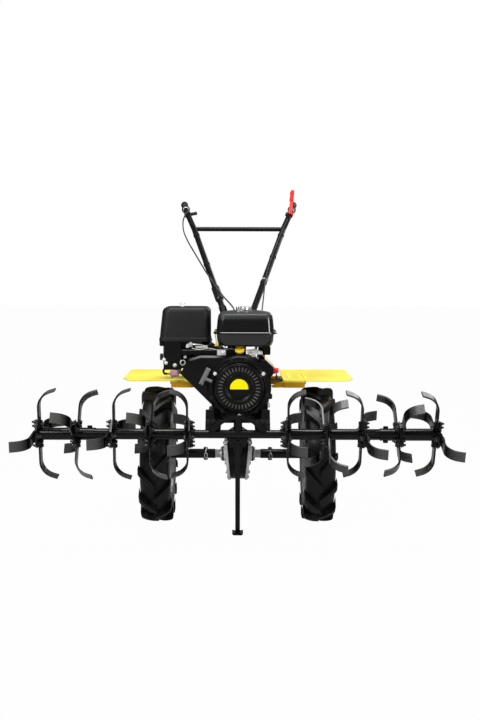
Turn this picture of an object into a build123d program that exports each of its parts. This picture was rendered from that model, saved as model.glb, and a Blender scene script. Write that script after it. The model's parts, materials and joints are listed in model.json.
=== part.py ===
"""Walk-behind two-wheel tractor with a front-carried set of tine rotors.

Frame: +Z up, the machine faces -Y, +X is the machine's own left.  The origin is on the floor,
under the middle of the outline.  Sizes are in millimetres.  "Ahead" means forward of the axle.
"""
import os
from math import atan2, cos, hypot, radians, sin, tan

from build123d import *

os.makedirs("parts", exist_ok=True)

SIDES = (("left", 1), ("right", -1))  # name, direction along X

# ================================================================ driving dimensions
running_clearance = 0.1      # radial, shaft in its bearing
seat_gap = 0.3               # between pieces that are bolted or slid together

# wheels
tyre_diameter = 570          # over the lugs
axle_height = tyre_diameter / 2
tyre_width = 132
tyre_wall = 16
wheel_track = 672            # between the tyres' middle planes
bead_diameter = 305
rim_width = 104              # between the lips
rim_gauge = 4
rim_lip_height = 15
rim_well_depth = 24
wheel_disc_gauge = 6
hand_hole_diameter = 40
hand_hole_circle = 186
hub_flange_diameter = 124
hub_flange_gauge = 8
axle_sleeve_diameter = 40
axle_hex = 32                # across flats
journal_diameter = 36
axle_pin_diameter = 9
axle_pin_offset = 137        # from the middle of the machine

# final drive and gearbox
final_drive_radius = 106
case_top_width = 90
case_foot_width = 56
case_neck_width = 36         # above the round foot, up to the gearbox
side_cover_gauge = 11
bearing_boss_diameter = 64
bearing_boss_reach = 66      # outer face, from the middle
bearing_ring_gauge = 6
gearbox_base = axle_height + 135
gearbox_top = axle_height + 343
gearbox_front = 30           # ahead
gearbox_length = 190
gearbox_width = 170
clutch_face_diameter = 224   # at the engine
hitch_height = axle_height + 185
hitch_ear_gauge = 12
hitch_slot = 30
hitch_ear_width = 64
hitch_length = 116
hitch_bore_diameter = 18

# frame and front carrier
rail_inner = 66              # web, from the middle
rail_width = 54
rail_height = 46
rail_gauge = 6
bar_bracket_gauge = 8
bar_bracket_top = axle_height + 247
arch_half_width = 110
arch_top = axle_height + 227
arch_gauge = 12
arch_depth = 30

# tine rotors on the front carrier bar
rotor_ahead = tyre_diameter / 2 + 175   # carrier bar axis
rotor_height = axle_height + 156
carrier_bar_diameter = 32
rotor_tube_diameter = 42
outer_tube_wall = 2.2        # over the inner tube's end
flange_offsets = (183, 334, 476, 612, 757)   # tine flanges, from the middle
flange_size = 104
flange_gauge = 8
inner_flanges = 3            # flanges on the inner tube, the rest are on the outer one
tube_joint = 560             # joining bolt of the inner and outer tubes, from the middle
joint_overlap = 22           # of both tubes, past the joining bolt
end_bore_diameter = 34       # open end of the outer tube
joint_bolt_diameter = 10
tine_radius = 175
tine_width = 40
tine_gauge = 7
tine_bend_radius = 62
tine_bend_angle = 72
tine_tail = 22

# front stand
stand_pivot_ahead = rotor_ahead - 68
stand_pivot_height = axle_height + 120
stand_foot_ahead = stand_pivot_ahead - 152
stand_leg_size = 19
stand_foot_width = 44
stand_foot_length = 60
stand_foot_gauge = 7
stand_pin_diameter = 10

# engine
engine_base_height = axle_height + 207
crank_height = axle_height + 325   # crankshaft axis above the floor
crank_offset = 5             # crankshaft axis, to the left
engine_rear = 78             # rear face of the crankcase, ahead
shroud_rear = 300
shroud_front = 388
shroud_radius = 124
shroud_wall = 3
recoil_radius = 100
recoil_depth = 22
recoil_slots = 36
cylinder_lean = 25           # cylinder axis above level, leaning right
barrel_start = 108           # along the cylinder axis, from the crankshaft
barrel_size = 120
head_end = 190
head_cover_end = 226
fin_pitch = 9
tank_width = 228
tank_length = 268
tank_height = 139
tank_seam = 53               # seam flange above the tank's base
tank_offset = 28             # tank middle, to the left
tank_base = crank_height + 156
filter_width = 202
filter_length = 200
filter_height = 133
filter_offset = 210          # filter middle, to the right
filter_base = crank_height + 174
filter_front = 330           # ahead
muffler_length = 110

# fenders
fender_height = tyre_diameter + 40   # top face
fender_gauge = 4
fender_inner_edge = 187
fender_seam = 275
fender_outer_edge = 488
fender_front = 120           # ahead
fender_rear = -365
fender_corner = 88           # length of the cut front corner
fender_skirt = 30

# handlebar
handle_tube_diameter = 28
crossbar_diameter = 22
grip_diameter = 34
grip_length = 108
grip_end_ahead = -1090
column_gauge = 20
clamp_disc_gauge = 8
clamp_disc_diameter = 72
clamp_bolt_diameter = 12
clamp_wall = 3
lever_distance = 112         # of both control clamps, past the tube's second corner
lever_lean = 7               # clutch lever, outward
cable_diameter = 7

# ================================================================ derived places
axle_y = (rotor_ahead + tine_radius + grip_end_ahead) / 2   # puts the outline's middle at y = 0
wheel_offset = wheel_track / 2
wheel_disc_offset = wheel_offset - 3
rim_half = rim_width / 2
rim_lip = bead_diameter / 2 + rim_lip_height
frame_top = engine_base_height - seat_gap
gearbox_rear = gearbox_front - gearbox_length
bar_top = rotor_height + carrier_bar_diameter / 2
bar_bottom = rotor_height - carrier_bar_diameter / 2
case_foot = axle_height - final_drive_radius
lean_top = axle_height + 60         # the final drive's walls lean below this height
cover_top = axle_height + 84        # flat top of its side covers
rail_front = rotor_ahead - carrier_bar_diameter / 2 - bar_bracket_gauge - 2 * seat_gap
bracket_front = rail_front + seat_gap + bar_bracket_gauge
stand_back = stand_pivot_ahead - stand_foot_ahead
stand_rake = atan2(stand_back, stand_pivot_height)
stand_length = hypot(stand_back, stand_pivot_height)
head_middle = (engine_rear + shroud_rear) / 2
block_top = crank_height + 112
leg_half = stand_leg_size / 2
outer_tube_diameter = rotor_tube_diameter + 2 * (seat_gap + outer_tube_wall)
clamp_outer = handle_tube_diameter / 2 + seat_gap + clamp_wall
handle_foot_offset = column_gauge / 2 + clamp_disc_gauge + handle_tube_diameter / 2 + 2 * seat_gap
# corners of the left handle tube: from the middle, ahead of the axle, height
HANDLE_CORNERS = (
    (handle_foot_offset, -182, axle_height + 512),
    (223, -850, axle_height + 986),
    (268, -955, axle_height + 1081),
    (285, grip_end_ahead, axle_height + 1123),
)
clamp_ahead, clamp_height = HANDLE_CORNERS[0][1] - 14, HANDLE_CORNERS[0][2] + 10


def ahead(distance):
    """y of a point this far ahead of the axle."""
    return axle_y - distance


def side_plane(x):
    """Sketch plane across X: local x is the distance ahead of the axle, local y is height."""
    return Plane(origin=(x, axle_y, 0), x_dir=(0, -1, 0), z_dir=(-1, 0, 0))


def front_plane(distance):
    """Sketch plane facing forward: local x is +X, local y is height."""
    return Plane(origin=(0, ahead(distance), 0), x_dir=(1, 0, 0), z_dir=(0, -1, 0))


def level_plane(height):
    """Level sketch plane: local x is +X, local y runs rearward from the axle."""
    return Plane(origin=(0, axle_y, height))


def shaft_plane(x, y, z, sign):
    """Plane through a crosswise shaft: local x is outward along it, local y is radial."""
    return Plane(origin=(x, y, z), x_dir=(sign, 0, 0), z_dir=(0, -sign, 0))


def cross_plane(x, y, z, sign=1):
    """Plane across a crosswise shaft, facing outward; local x is rearward."""
    return Plane(origin=(x, y, z), x_dir=(0, 1, 0), z_dir=(sign, 0, 0))


def save(part, name):
    """Label a finished piece and write its STEP file."""
    part.label = name
    export_step(part, f"parts/{name}.step")


def both_sides(values):
    """Profile points of the inboard half followed by their mirror image, about the tyre's middle."""
    inboard = [(wheel_offset - x, r) for x, r in values]
    return inboard + [(wheel_offset + x, r) for x, r in reversed(values)]


# ================================================================ wheels
AXLE = Axis((0, axle_y, axle_height), (1, 0, 0))


def axle_plane(sign):
    return shaft_plane(0, axle_y, axle_height, sign)


def axle_cross_plane(x, sign):
    return cross_plane(sign * x, axle_y, axle_height, sign)


def tyre(side, sign):
    """Hollow carcass: beads between the rim's lips, flat-sided walls and a crowned tread."""
    crown, half = tyre_diameter / 2, tyre_width / 2
    bead, lip, seat = bead_diameter / 2 + seat_gap, rim_lip + seat_gap, rim_half - seat_gap
    outside = both_sides([(seat, bead), (seat, lip), (half, (lip + crown) / 2 - 8), (half - 12, crown - 14)])
    tread = [(wheel_offset, crown)]
    inside = both_sides([(seat - tyre_wall, bead), (half - tyre_wall, crown - 50)])
    with BuildPart() as tyre:
        with BuildSketch(axle_plane(sign)):
            with BuildLine():
                Polyline(*outside[:4], *tread, *outside[4:], *reversed(inside), close=True)
            make_face()
        revolve(axis=AXLE)
    save(tyre.part, f"tyre_{side}")


def rim(side, sign):
    """Drop-centre rim welded to a flat disc with four hand holes."""
    seat = bead_diameter / 2
    well = seat - rim_well_depth
    outside = both_sides([(rim_half + rim_gauge, rim_lip), (rim_half, seat), (22, well)])
    inside = both_sides([(rim_half + rim_gauge, seat - rim_gauge), (26, well - rim_gauge)])
    with BuildPart() as rim:
        with BuildSketch(axle_plane(sign)):
            with BuildLine():
                Polyline(*outside, *reversed(inside), close=True)
            make_face()
        revolve(axis=AXLE)
        with BuildSketch(axle_cross_plane(wheel_disc_offset, sign)):
            Circle(well - rim_gauge / 2)
            Circle(axle_sleeve_diameter / 2, mode=Mode.SUBTRACT)
            with PolarLocations(hand_hole_circle / 2, 4, start_angle=45):
                Circle(hand_hole_diameter / 2, mode=Mode.SUBTRACT)
        extrude(amount=wheel_disc_gauge / 2, both=True)
    save(rim.part, f"rim_{side}")


def axle_bearings():
    """Bright seal rings round the half shafts, on the faces of the bearing bosses."""
    with BuildPart() as rings:
        for _, sign in SIDES:
            with BuildSketch(axle_cross_plane(bearing_boss_reach + seat_gap, sign)):
                RegularPolygon(bearing_boss_diameter / 2 - 3, 12)
                Circle(journal_diameter / 2 + running_clearance, mode=Mode.SUBTRACT)
            extrude(amount=bearing_ring_gauge)
    save(rings.part, "axle_bearings")


def wheel_hub(side, sign):
    """Sleeve over the hexagonal half shaft, with the flange that carries the wheel disc."""
    start, end = axle_pin_offset - 41, wheel_offset + 30
    face = wheel_disc_offset - wheel_disc_gauge / 2 - seat_gap
    outer = axle_sleeve_diameter / 2
    with BuildPart() as hub:
        with BuildSketch(axle_cross_plane(start, sign)):
            Circle(outer - seat_gap)
        extrude(amount=end - start)
        with BuildSketch(axle_cross_plane(face, sign)):
            Circle(hub_flange_diameter / 2)
        extrude(amount=-hub_flange_gauge)
        with BuildSketch(axle_cross_plane(start, sign)):
            RegularPolygon(axle_hex / 2 + seat_gap, 6, major_radius=False)
        extrude(amount=end - start - 12, mode=Mode.SUBTRACT)
        for up in (1, -1):
            head = axle_height + up * (outer - 2)
            with BuildSketch(Plane(origin=(sign * axle_pin_offset, axle_y, head), z_dir=(0, 0, up))):
                RegularPolygon(axle_pin_diameter * 0.85, 6, major_radius=False)
            extrude(amount=axle_pin_diameter)
    save(hub.part, f"wheel_hub_{side}")


def axle_shaft(side, sign):
    """Hexagonal half shaft with a round journal inside the final drive, and its cross pin."""
    inner, shoulder, end = 20, bearing_boss_reach + bearing_ring_gauge + 4, wheel_offset + 12
    with BuildPart() as shaft:
        with BuildSketch(axle_cross_plane(shoulder, sign)):
            RegularPolygon(axle_hex / 2, 6, major_radius=False)
        extrude(amount=end - shoulder)
        with BuildSketch(axle_cross_plane(inner, sign)):
            Circle(journal_diameter / 2)
        extrude(amount=shoulder - inner)
    save(shaft.part, f"axle_shaft_{side}")


# ================================================================ final drive and gearbox
def drive_outline(margin):
    """Side outline of the final drive, grown by a margin: round foot and a tapering neck."""
    radius = final_drive_radius + margin
    with BuildSketch(side_plane(0), mode=Mode.PRIVATE) as outline:
        with Locations((0, axle_height)):
            Circle(radius)
        with BuildLine():
            Polyline(
                (-radius, axle_height), (radius, axle_height), (radius - 22, gearbox_base),
                (-radius + 12, gearbox_base), close=True,
            )
        make_face()
    return outline.sketch


def tapered_slab(inner, outer):
    """Front outline of both walls that lean with the case, between two offsets from its face."""
    low, high = case_foot - 20, cover_top
    with BuildSketch(front_plane(0), mode=Mode.PRIVATE) as slab:
        for _, sign in SIDES:
            foot, top = sign * case_foot_width / 2, sign * case_top_width / 2
            with BuildLine():
                Polyline(
                    (foot + sign * inner, low), (foot + sign * outer, low), (top + sign * outer, lean_top),
                    (top + sign * outer, high), (top + sign * inner, high), (top + sign * inner, lean_top),
                    close=True,
                )
            make_face()
    return slab.sketch


def final_drive_case():
    """Middle casting of the final drive, narrower towards its foot, bored for the half shafts."""
    with BuildPart() as case:
        extrude(drive_outline(0), amount=case_top_width, both=True)
        with BuildSketch(front_plane(0)):
            with BuildLine():
                foot, top, neck = case_foot_width / 2, case_top_width / 2, case_neck_width / 2
                Polyline(
                    (-foot, case_foot - 20), (foot, case_foot - 20), (top, lean_top), (top, cover_top),
                    (neck, cover_top + 18), (neck, gearbox_base), (-neck, gearbox_base),
                    (-neck, cover_top + 18), (-top, cover_top), (-top, lean_top), close=True,
                )
            make_face()
        extrude(amount=2 * final_drive_radius, both=True, mode=Mode.INTERSECT)
        with BuildSketch(axle_cross_plane(0, 1)):
            Circle(journal_diameter / 2 + running_clearance)
        extrude(amount=case_top_width, both=True, mode=Mode.SUBTRACT)
    save(case.part, "final_drive_case")


def drive_covers():
    """Bare alloy side covers that lean with the case, with round bearing bosses."""
    with BuildPart() as covers:
        extrude(drive_outline(5), amount=case_top_width, both=True)
        extrude(tapered_slab(seat_gap, side_cover_gauge), amount=2 * final_drive_radius, both=True,
                mode=Mode.INTERSECT)
        for _, sign in SIDES:
            with BuildSketch(axle_cross_plane(case_top_width / 2, sign)):
                Circle(bearing_boss_diameter / 2)
            extrude(amount=bearing_boss_reach - case_top_width / 2)
        with BuildSketch(axle_cross_plane(0, 1)):
            Circle(journal_diameter / 2 + running_clearance)
        extrude(amount=2 * case_top_width, both=True, mode=Mode.SUBTRACT)
    save(covers.part, "drive_covers")


def gearbox():
    """Gear casing over the final drive, with a raised rib round its middle joint."""
    with BuildPart() as box:
        with BuildSketch(side_plane(0)):
            with BuildLine():
                Polyline(
                    (gearbox_front, gearbox_base), (gearbox_front, gearbox_top - 20),
                    (gearbox_front - 20, gearbox_top), (gearbox_rear + 30, gearbox_top),
                    (gearbox_rear, gearbox_top - 60), (gearbox_rear, gearbox_base + 16),
                    (gearbox_rear + 20, gearbox_base), close=True,
                )
            make_face()
        extrude(amount=gearbox_width / 2, both=True)
        chamfer(box.edges().filter_by(Plane.YZ).group_by(Axis.X)[0], 12)
        chamfer(box.edges().filter_by(Plane.YZ).group_by(Axis.X)[-1], 12)
    save(box.part, "gearbox")


def clutch_housing():
    """Bell between the engine and the gearbox, flanged at the engine."""
    flange = 10
    with BuildPart() as bell:
        with BuildSketch(front_plane(gearbox_front + seat_gap)):
            with Locations((crank_offset, gearbox_top - 46)):
                RegularPolygon(86, 16)
        with BuildSketch(front_plane(engine_rear - flange - seat_gap)):
            with Locations((crank_offset, crank_height)):
                RegularPolygon(clutch_face_diameter / 2 - 8, 16)
        loft()
        with BuildSketch(front_plane(engine_rear - flange - seat_gap)):
            with Locations((crank_offset, crank_height)):
                RegularPolygon(clutch_face_diameter / 2, 16)
        extrude(amount=flange)
    save(bell.part, "clutch_housing")


def hitch_bracket():
    """Rear drawbar clevis: a bolted plate with two ears and a vertical pin bore."""
    base = 12
    half_slot = hitch_slot / 2
    with BuildPart() as hitch:
        with BuildSketch(side_plane(0)):
            with BuildLine():
                rear, tip = gearbox_rear - seat_gap, gearbox_rear - seat_gap - hitch_length
                half = half_slot + hitch_ear_gauge
                Polyline(
                    (rear, hitch_height - half - 12), (rear, hitch_height + half + 12),
                    (rear - base, hitch_height + half + 12), (rear - base, hitch_height + half),
                    (tip, hitch_height + half), (tip, hitch_height + half_slot),
                    (rear - base, hitch_height + half_slot), (rear - base, hitch_height - half_slot),
                    (tip, hitch_height - half_slot), (tip, hitch_height - half),
                    (rear - base, hitch_height - half), (rear - base, hitch_height - half - 12), close=True,
                )
            make_face()
        extrude(amount=hitch_ear_width / 2, both=True)
        with BuildSketch(level_plane(hitch_height)):
            with Locations((0, -tip - 26)):
                Circle(hitch_bore_diameter / 2)
        extrude(amount=2 * hitch_slot, both=True, mode=Mode.SUBTRACT)
    save(hitch.part, "hitch_bracket")


def gear_lever():
    """Bent rod from the gearbox's top to a knob beside the column."""
    foot, rod = -60, 12
    with BuildPart() as lever:
        with BuildLine() as path:
            FilletPolyline(
                (60, ahead(foot), gearbox_top + seat_gap), (60, ahead(foot), gearbox_top + 60),
                (98, ahead(foot - 90), gearbox_top + 150), radius=25,
            )
        with BuildSketch(Plane(origin=path.line @ 0, z_dir=path.line % 0)):
            RegularPolygon(rod / 2, 8)
        sweep()
        with BuildSketch(Plane(origin=path.line @ 1, z_dir=path.line % 1)):
            RegularPolygon(15, 10)
        extrude(amount=30, taper=-4)
        with BuildSketch(level_plane(gearbox_top + seat_gap)):
            with Locations((60, -foot)):
                RegularPolygon(20, 8)
        extrude(amount=12, taper=15)
    save(lever.part, "gear_lever")


# ================================================================ frame and front carrier
def frame_rails():
    """Two channel rails, open outward, that carry the engine from the gearbox to the bar."""
    low = frame_top - rail_height
    with BuildPart() as rails:
        for _, sign in SIDES:
            inner, outer = sign * rail_inner, sign * (rail_inner + rail_width)
            web = inner + sign * rail_gauge
            with BuildSketch(front_plane(gearbox_front + seat_gap)):
                with BuildLine():
                    Polyline(
                        (inner, low), (inner, frame_top), (outer, frame_top), (outer, frame_top - rail_gauge),
                        (web, frame_top - rail_gauge), (web, low + rail_gauge), (outer, low + rail_gauge),
                        (outer, low), close=True,
                    )
                make_face()
            extrude(amount=rail_front - gearbox_front - seat_gap)
    save(rails.part, "frame_rails")


def bar_brackets():
    """Front end plates of the rails, cut to saddle the carrier bar."""
    inner, outer = rail_inner + 16, rail_inner + rail_width + 2
    with BuildPart() as plates:
        for _, sign in SIDES:
            with BuildSketch(front_plane(bracket_front - bar_bracket_gauge)):
                with BuildLine():
                    Polyline(
                        (sign * inner, rotor_height), (sign * (inner + 10), bar_bracket_top),
                        (sign * outer, bar_bracket_top), (sign * (outer + 2), rotor_height), close=True,
                    )
                make_face()
            extrude(amount=bar_bracket_gauge)
        with BuildSketch(cross_plane(0, ahead(rotor_ahead), rotor_height)):
            Circle(carrier_bar_diameter / 2 + seat_gap)
        extrude(amount=2 * outer, both=True, mode=Mode.SUBTRACT)
    save(plates.part, "bar_brackets")


def carrier_bar():
    """Round cross bar that carries the rotor tubes on its ends."""
    with BuildPart() as bar:
        with BuildSketch(cross_plane(0, ahead(rotor_ahead), rotor_height)):
            Circle(carrier_bar_diameter / 2)
        extrude(amount=flange_offsets[2] + 40, both=True)
    save(bar.part, "carrier_bar")


def bumper_arch():
    """Flat strip bent into a low arch over the carrier bar, with its centre post."""
    base = bar_top - 4
    with BuildPart() as arch:
        with BuildSketch(front_plane(rotor_ahead - arch_depth / 2)):
            with BuildLine():
                ThreePointArc((-arch_half_width, base), (0, arch_top), (arch_half_width, base))
                Line((arch_half_width, base), (arch_half_width - 26, base))
                ThreePointArc(
                    (arch_half_width - 26, base), (0, arch_top - arch_gauge), (-arch_half_width + 26, base))
                Line((-arch_half_width + 26, base), (-arch_half_width, base))
            make_face()
            with Locations((2, (base + arch_top - 4) / 2)):
                Rectangle(22, arch_top - 4 - base)
        extrude(amount=arch_depth)
        with BuildSketch(cross_plane(0, ahead(rotor_ahead), rotor_height)):
            Circle(carrier_bar_diameter / 2 + seat_gap)
        extrude(amount=2 * arch_half_width, both=True, mode=Mode.SUBTRACT)
    save(arch.part, "bumper_arch")


# ---------------------------------------------------------------- stand
def leg_plane(offset=0):
    """Plane across the leg, this far below the pivot; local y is rearward and up."""
    down = Vector(0, sin(stand_rake), -cos(stand_rake))
    origin = Vector(0, ahead(stand_pivot_ahead), stand_pivot_height) + down * offset
    return Plane(origin=origin, x_dir=(1, 0, 0), z_dir=down)


def pin_plane(offset=0):
    return cross_plane(offset, ahead(stand_pivot_ahead), stand_pivot_height)


def stand_bracket():
    """Tapered block and two cheeks below the carrier bar, with a rear web that stops the leg."""
    low, slot, cheek = stand_pivot_height - 14, leg_half + 1, leg_half + 7
    depth = rotor_ahead + 8 - stand_pivot_ahead + 20
    with BuildPart() as bracket:
        with BuildSketch(front_plane(stand_pivot_ahead - 20)):
            with BuildLine():
                Polyline((-40, bar_bottom), (40, bar_bottom), (29, low), (-29, low), close=True)
            make_face()
            with Locations((0, low)):
                Rectangle(2 * slot, 2 * (stand_pivot_height + 15 - low), mode=Mode.SUBTRACT)
        extrude(amount=depth)
        with BuildSketch(cross_plane(0, ahead(rotor_ahead), rotor_height)):
            Circle(carrier_bar_diameter / 2 + seat_gap)
        extrude(amount=60, both=True, mode=Mode.SUBTRACT)
        with BuildSketch(leg_plane(-6)):
            Rectangle(2 * cheek, stand_leg_size + 8)
            Rectangle(2 * slot, stand_leg_size + 9, mode=Mode.SUBTRACT)
        extrude(amount=56)
        with BuildSketch(leg_plane(14)):
            with Locations((0, -leg_half - seat_gap - 3)):
                Rectangle(2 * cheek, 6)
        extrude(amount=36)
        with BuildSketch(pin_plane()):
            Circle(stand_pin_diameter / 2 + running_clearance)
        extrude(amount=60, both=True, mode=Mode.SUBTRACT)
    save(bracket.part, "stand_bracket")


def stand_pin():
    """Pivot pin with a collar at each end."""
    half = 38
    with BuildPart() as pin:
        with BuildSketch(pin_plane()):
            Circle(stand_pin_diameter / 2)
        extrude(amount=half + 8, both=True)
        for sign in (1, -1):
            with BuildSketch(pin_plane(sign * half)):
                RegularPolygon(stand_pin_diameter / 2 + 3, 8)
            extrude(amount=sign * 4)
    save(pin.part, "stand_pin")


def front_stand():
    """Square leg on its pivot pin, raked back to a foot plate with turned-up ends."""
    with BuildPart() as stand:
        with BuildSketch(leg_plane()):
            Rectangle(stand_leg_size, stand_leg_size)
        extrude(amount=stand_length)
        with BuildSketch(pin_plane()):
            Circle(leg_half)
        extrude(amount=leg_half, both=True)
        with BuildSketch(level_plane(0)):
            with Locations((0, -stand_foot_ahead)):
                Rectangle(4 * stand_foot_length, 4 * stand_foot_length)
        extrude(amount=-50, mode=Mode.SUBTRACT)
        with BuildSketch(front_plane(stand_foot_ahead - stand_foot_length / 2)):
            with BuildLine():
                half, gauge = stand_foot_width / 2, stand_foot_gauge
                Polyline(
                    (-half, 5), (-half + 6, 0), (half - 6, 0), (half, 5), (half, 5 + gauge * 0.6),
                    (half - 8, gauge), (-half + 8, gauge), (-half, 5 + gauge * 0.6), close=True,
                )
            make_face()
        extrude(amount=stand_foot_length)
        with BuildSketch(pin_plane()):
            Circle(stand_pin_diameter / 2 + running_clearance)
        extrude(amount=stand_leg_size, both=True, mode=Mode.SUBTRACT)
    save(stand.part, "front_stand")


# ================================================================ tine rotors
# per side, flange by flange from the middle: phase of the first tine from straight up towards
# the front, then the curl of its four tines in turn, +1 outward and -1 towards the middle
TINE_FLANGES = {
    "left": (
        (14, (1, 1, 1, 1)), (40, (1, 1, -1, -1)), (17, (-1, 1, -1, 1)), (48, (1, -1, 1, -1)),
        (20, (-1, 1, -1, -1)),
    ),
    "right": (
        (12, (1, 1, 1, 1)), (61, (1, -1, 1, -1)), (5, (-1, 1, -1, -1)), (61, (1, -1, 1, -1)),
        (8, (-1, 1, -1, -1)),
    ),
}


def rotor_cross_plane(x, sign):
    return cross_plane(sign * x, ahead(rotor_ahead), rotor_height, sign)


def flanged_tube(start, end, diameter, bores, flanges, sign):
    """Tube with welded tine flanges (offset, phase); bores holds start, end and diameter."""
    with BuildPart() as tube:
        with BuildSketch(rotor_cross_plane(start, sign)):
            Circle(diameter / 2)
        extrude(amount=end - start)
        for x, phase in flanges:
            with BuildSketch(rotor_cross_plane(x - flange_gauge / 2, sign)):
                Rectangle(flange_size, flange_size, rotation=-sign * phase)
                with PolarLocations(flange_size / 2 + 12, 4, start_angle=45 - sign * phase):
                    Rectangle(40, 60, mode=Mode.SUBTRACT)
            extrude(amount=flange_gauge)
        for bore_start, bore_end, bore in bores:
            with BuildSketch(rotor_cross_plane(bore_start, sign)):
                Circle(bore / 2)
            extrude(amount=bore_end - bore_start, mode=Mode.SUBTRACT)
    return tube.part


def rotor_tubes(side, sign):
    """Inner tube running on the carrier bar, and the outer tube sleeved and bolted over its end."""
    rows = [(x, row[0]) for x, row in zip(flange_offsets, TINE_FLANGES[side])]
    start, joint_end = flange_offsets[0] - 14, tube_joint + joint_overlap + 16
    running_bore = carrier_bar_diameter + 2 * running_clearance
    inner = flanged_tube(
        start, joint_end, rotor_tube_diameter, ((start, joint_end, running_bore),),
        rows[:inner_flanges], sign)
    save(inner, f"rotor_tube_inner_{side}")
    start, end, step = tube_joint - joint_overlap, flange_offsets[-1] + 5, joint_end + seat_gap
    with BuildPart() as outer:
        add(flanged_tube(
            start, end, outer_tube_diameter,
            ((start, step, rotor_tube_diameter + 2 * seat_gap), (step, end, end_bore_diameter)),
            rows[inner_flanges:], sign))
        for up in (1, -1):
            head = rotor_height + up * (outer_tube_diameter / 2 - 2)
            with BuildSketch(Plane(origin=(sign * tube_joint, ahead(rotor_ahead), head), z_dir=(0, 0, up))):
                RegularPolygon(joint_bolt_diameter * 0.85, 6, major_radius=False)
            extrude(amount=joint_bolt_diameter)
    save(outer.part, f"rotor_tube_outer_{side}")


def tine(x, sign, angle, curl):
    """Flat bar bolted to a flange's face, bent sideways over a round bend to a cut tip."""
    out = sign * curl
    face = flange_gauge / 2 + seat_gap + tine_gauge / 2
    turn = radians(angle)
    plane = Plane(
        origin=(sign * x + out * face, ahead(rotor_ahead), rotor_height), x_dir=(out, 0, 0),
        z_dir=(0, -out * cos(turn), -out * sin(turn)),
    )
    bend, half = radians(tine_bend_angle), tine_gauge / 2
    root = outer_tube_diameter / 2 + 2
    straight = tine_radius - half - tine_bend_radius * sin(bend) - tine_tail * cos(bend)
    centre = (tine_bend_radius, straight)
    run = Vector(tine_tail * sin(bend), tine_tail * cos(bend))
    with BuildPart(mode=Mode.PRIVATE) as bar:
        with BuildSketch(plane):
            with BuildLine():
                Line((-half, root), (-half, straight))
                outer = CenterArc(centre, tine_bend_radius + half, 180, -tine_bend_angle)
                inner = CenterArc(centre, tine_bend_radius - half, 180, -tine_bend_angle)
                Polyline(outer @ 1, (outer @ 1) + run, (inner @ 1) + run, inner @ 1)
                Polyline((half, straight), (half, root), (-half, root))
            make_face()
        extrude(amount=tine_width / 2, both=True)
    return bar.part


def tines(side, sign):
    """The bent tines, four to a flange, in one node for each tube."""
    rows = list(zip(flange_offsets, TINE_FLANGES[side]))
    for section, flanges in (("inner", rows[:inner_flanges]), ("outer", rows[inner_flanges:])):
        blades = [
            tine(x, sign, phase + 90 * turn, curl)
            for x, (phase, curls) in flanges for turn, curl in enumerate(curls)
        ]
        save(Compound(children=blades), f"tines_{section}_{side}")


# ================================================================ engine
CRANK = (crank_offset, crank_height)
CRANK_AXIS = Axis((crank_offset, 0, crank_height), (0, 1, 0))


def cylinder_plane(distance):
    """Plane across the leaning cylinder; local x is forward, local y is across and up."""
    lean = radians(180 - cylinder_lean)
    along = Vector(cos(lean), 0, sin(lean))
    origin = Vector(crank_offset, ahead(head_middle), crank_height) + along * distance
    return Plane(origin=origin, x_dir=(0, -1, 0), z_dir=along)


def engine_block():
    """Crankcase: one heavy block on a foot flange, with a slanted seat for the barrel."""
    lean = radians(cylinder_lean)

    def on_seat(across):
        return (
            crank_offset - barrel_start * cos(lean) + across * sin(lean),
            crank_height + barrel_start * sin(lean) + across * cos(lean),
        )

    with BuildPart() as block:
        with BuildSketch(front_plane(engine_rear)):
            with BuildLine():
                Polyline(
                    (-92, engine_base_height), on_seat(-barrel_size / 2), on_seat(barrel_size / 2),
                    (crank_offset, block_top), (72, block_top - 14), (118, crank_height + 30),
                    (118, engine_base_height), close=True,
                )
            make_face()
        extrude(amount=shroud_rear - seat_gap - engine_rear)
        with BuildSketch(front_plane(engine_rear)):
            with Locations((crank_offset, engine_base_height + 8)):
                Rectangle(2 * (rail_inner + rail_width) - 12, 16)
        extrude(amount=shroud_rear - seat_gap - engine_rear)
        with BuildSketch(level_plane(tank_base - seat_gap)):
            with Locations((20, -160), (20, -262), (94, -160), (94, -262)):
                Rectangle(24, 40)
        extrude(amount=-112)
    save(block.part, "engine_block")


def cylinder_head():
    """Finned barrel and head with a rounded rocker cover, leaning to the right."""
    length = 150
    with BuildPart() as head:
        with BuildSketch(cylinder_plane(barrel_start + seat_gap)):
            Rectangle(length - 40, barrel_size - 20)
        extrude(amount=head_end - barrel_start - seat_gap)
        fins = int((head_end - barrel_start) / fin_pitch)
        for n in range(fins):
            with BuildSketch(cylinder_plane(head_end - 4 - n * fin_pitch)):
                Rectangle(length, barrel_size)
            extrude(amount=4)
        with BuildSketch(cylinder_plane(head_end)):
            Rectangle(length - 34, barrel_size - 26)
        extrude(amount=head_cover_end - head_end, taper=8)
    save(head.part, "cylinder_head")


def duct_section(inset=0):
    """Front section of the duct drawn out to the cylinder, and of the raised shoulder."""
    with BuildSketch(front_plane(shroud_rear), mode=Mode.PRIVATE) as section:
        with BuildLine():
            Polyline(
                (crank_offset - 40, crank_height - 118), (crank_offset - 88, crank_height - 87),
                (crank_offset - 228, crank_height + 52), (crank_offset - 196, crank_height + 108),
                (crank_offset - 150, crank_height + 122), (crank_offset, crank_height + 122),
                (crank_offset + 46, crank_height + 106), (crank_offset + 104, crank_height + 102),
                (crank_offset + 132, crank_height + 76), (crank_offset + 132, crank_height + 50),
                (crank_offset + 90, crank_height), close=True,
            )
        make_face()
        if inset:
            offset(amount=-inset, kind=Kind.INTERSECTION)
    return section.sketch


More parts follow.
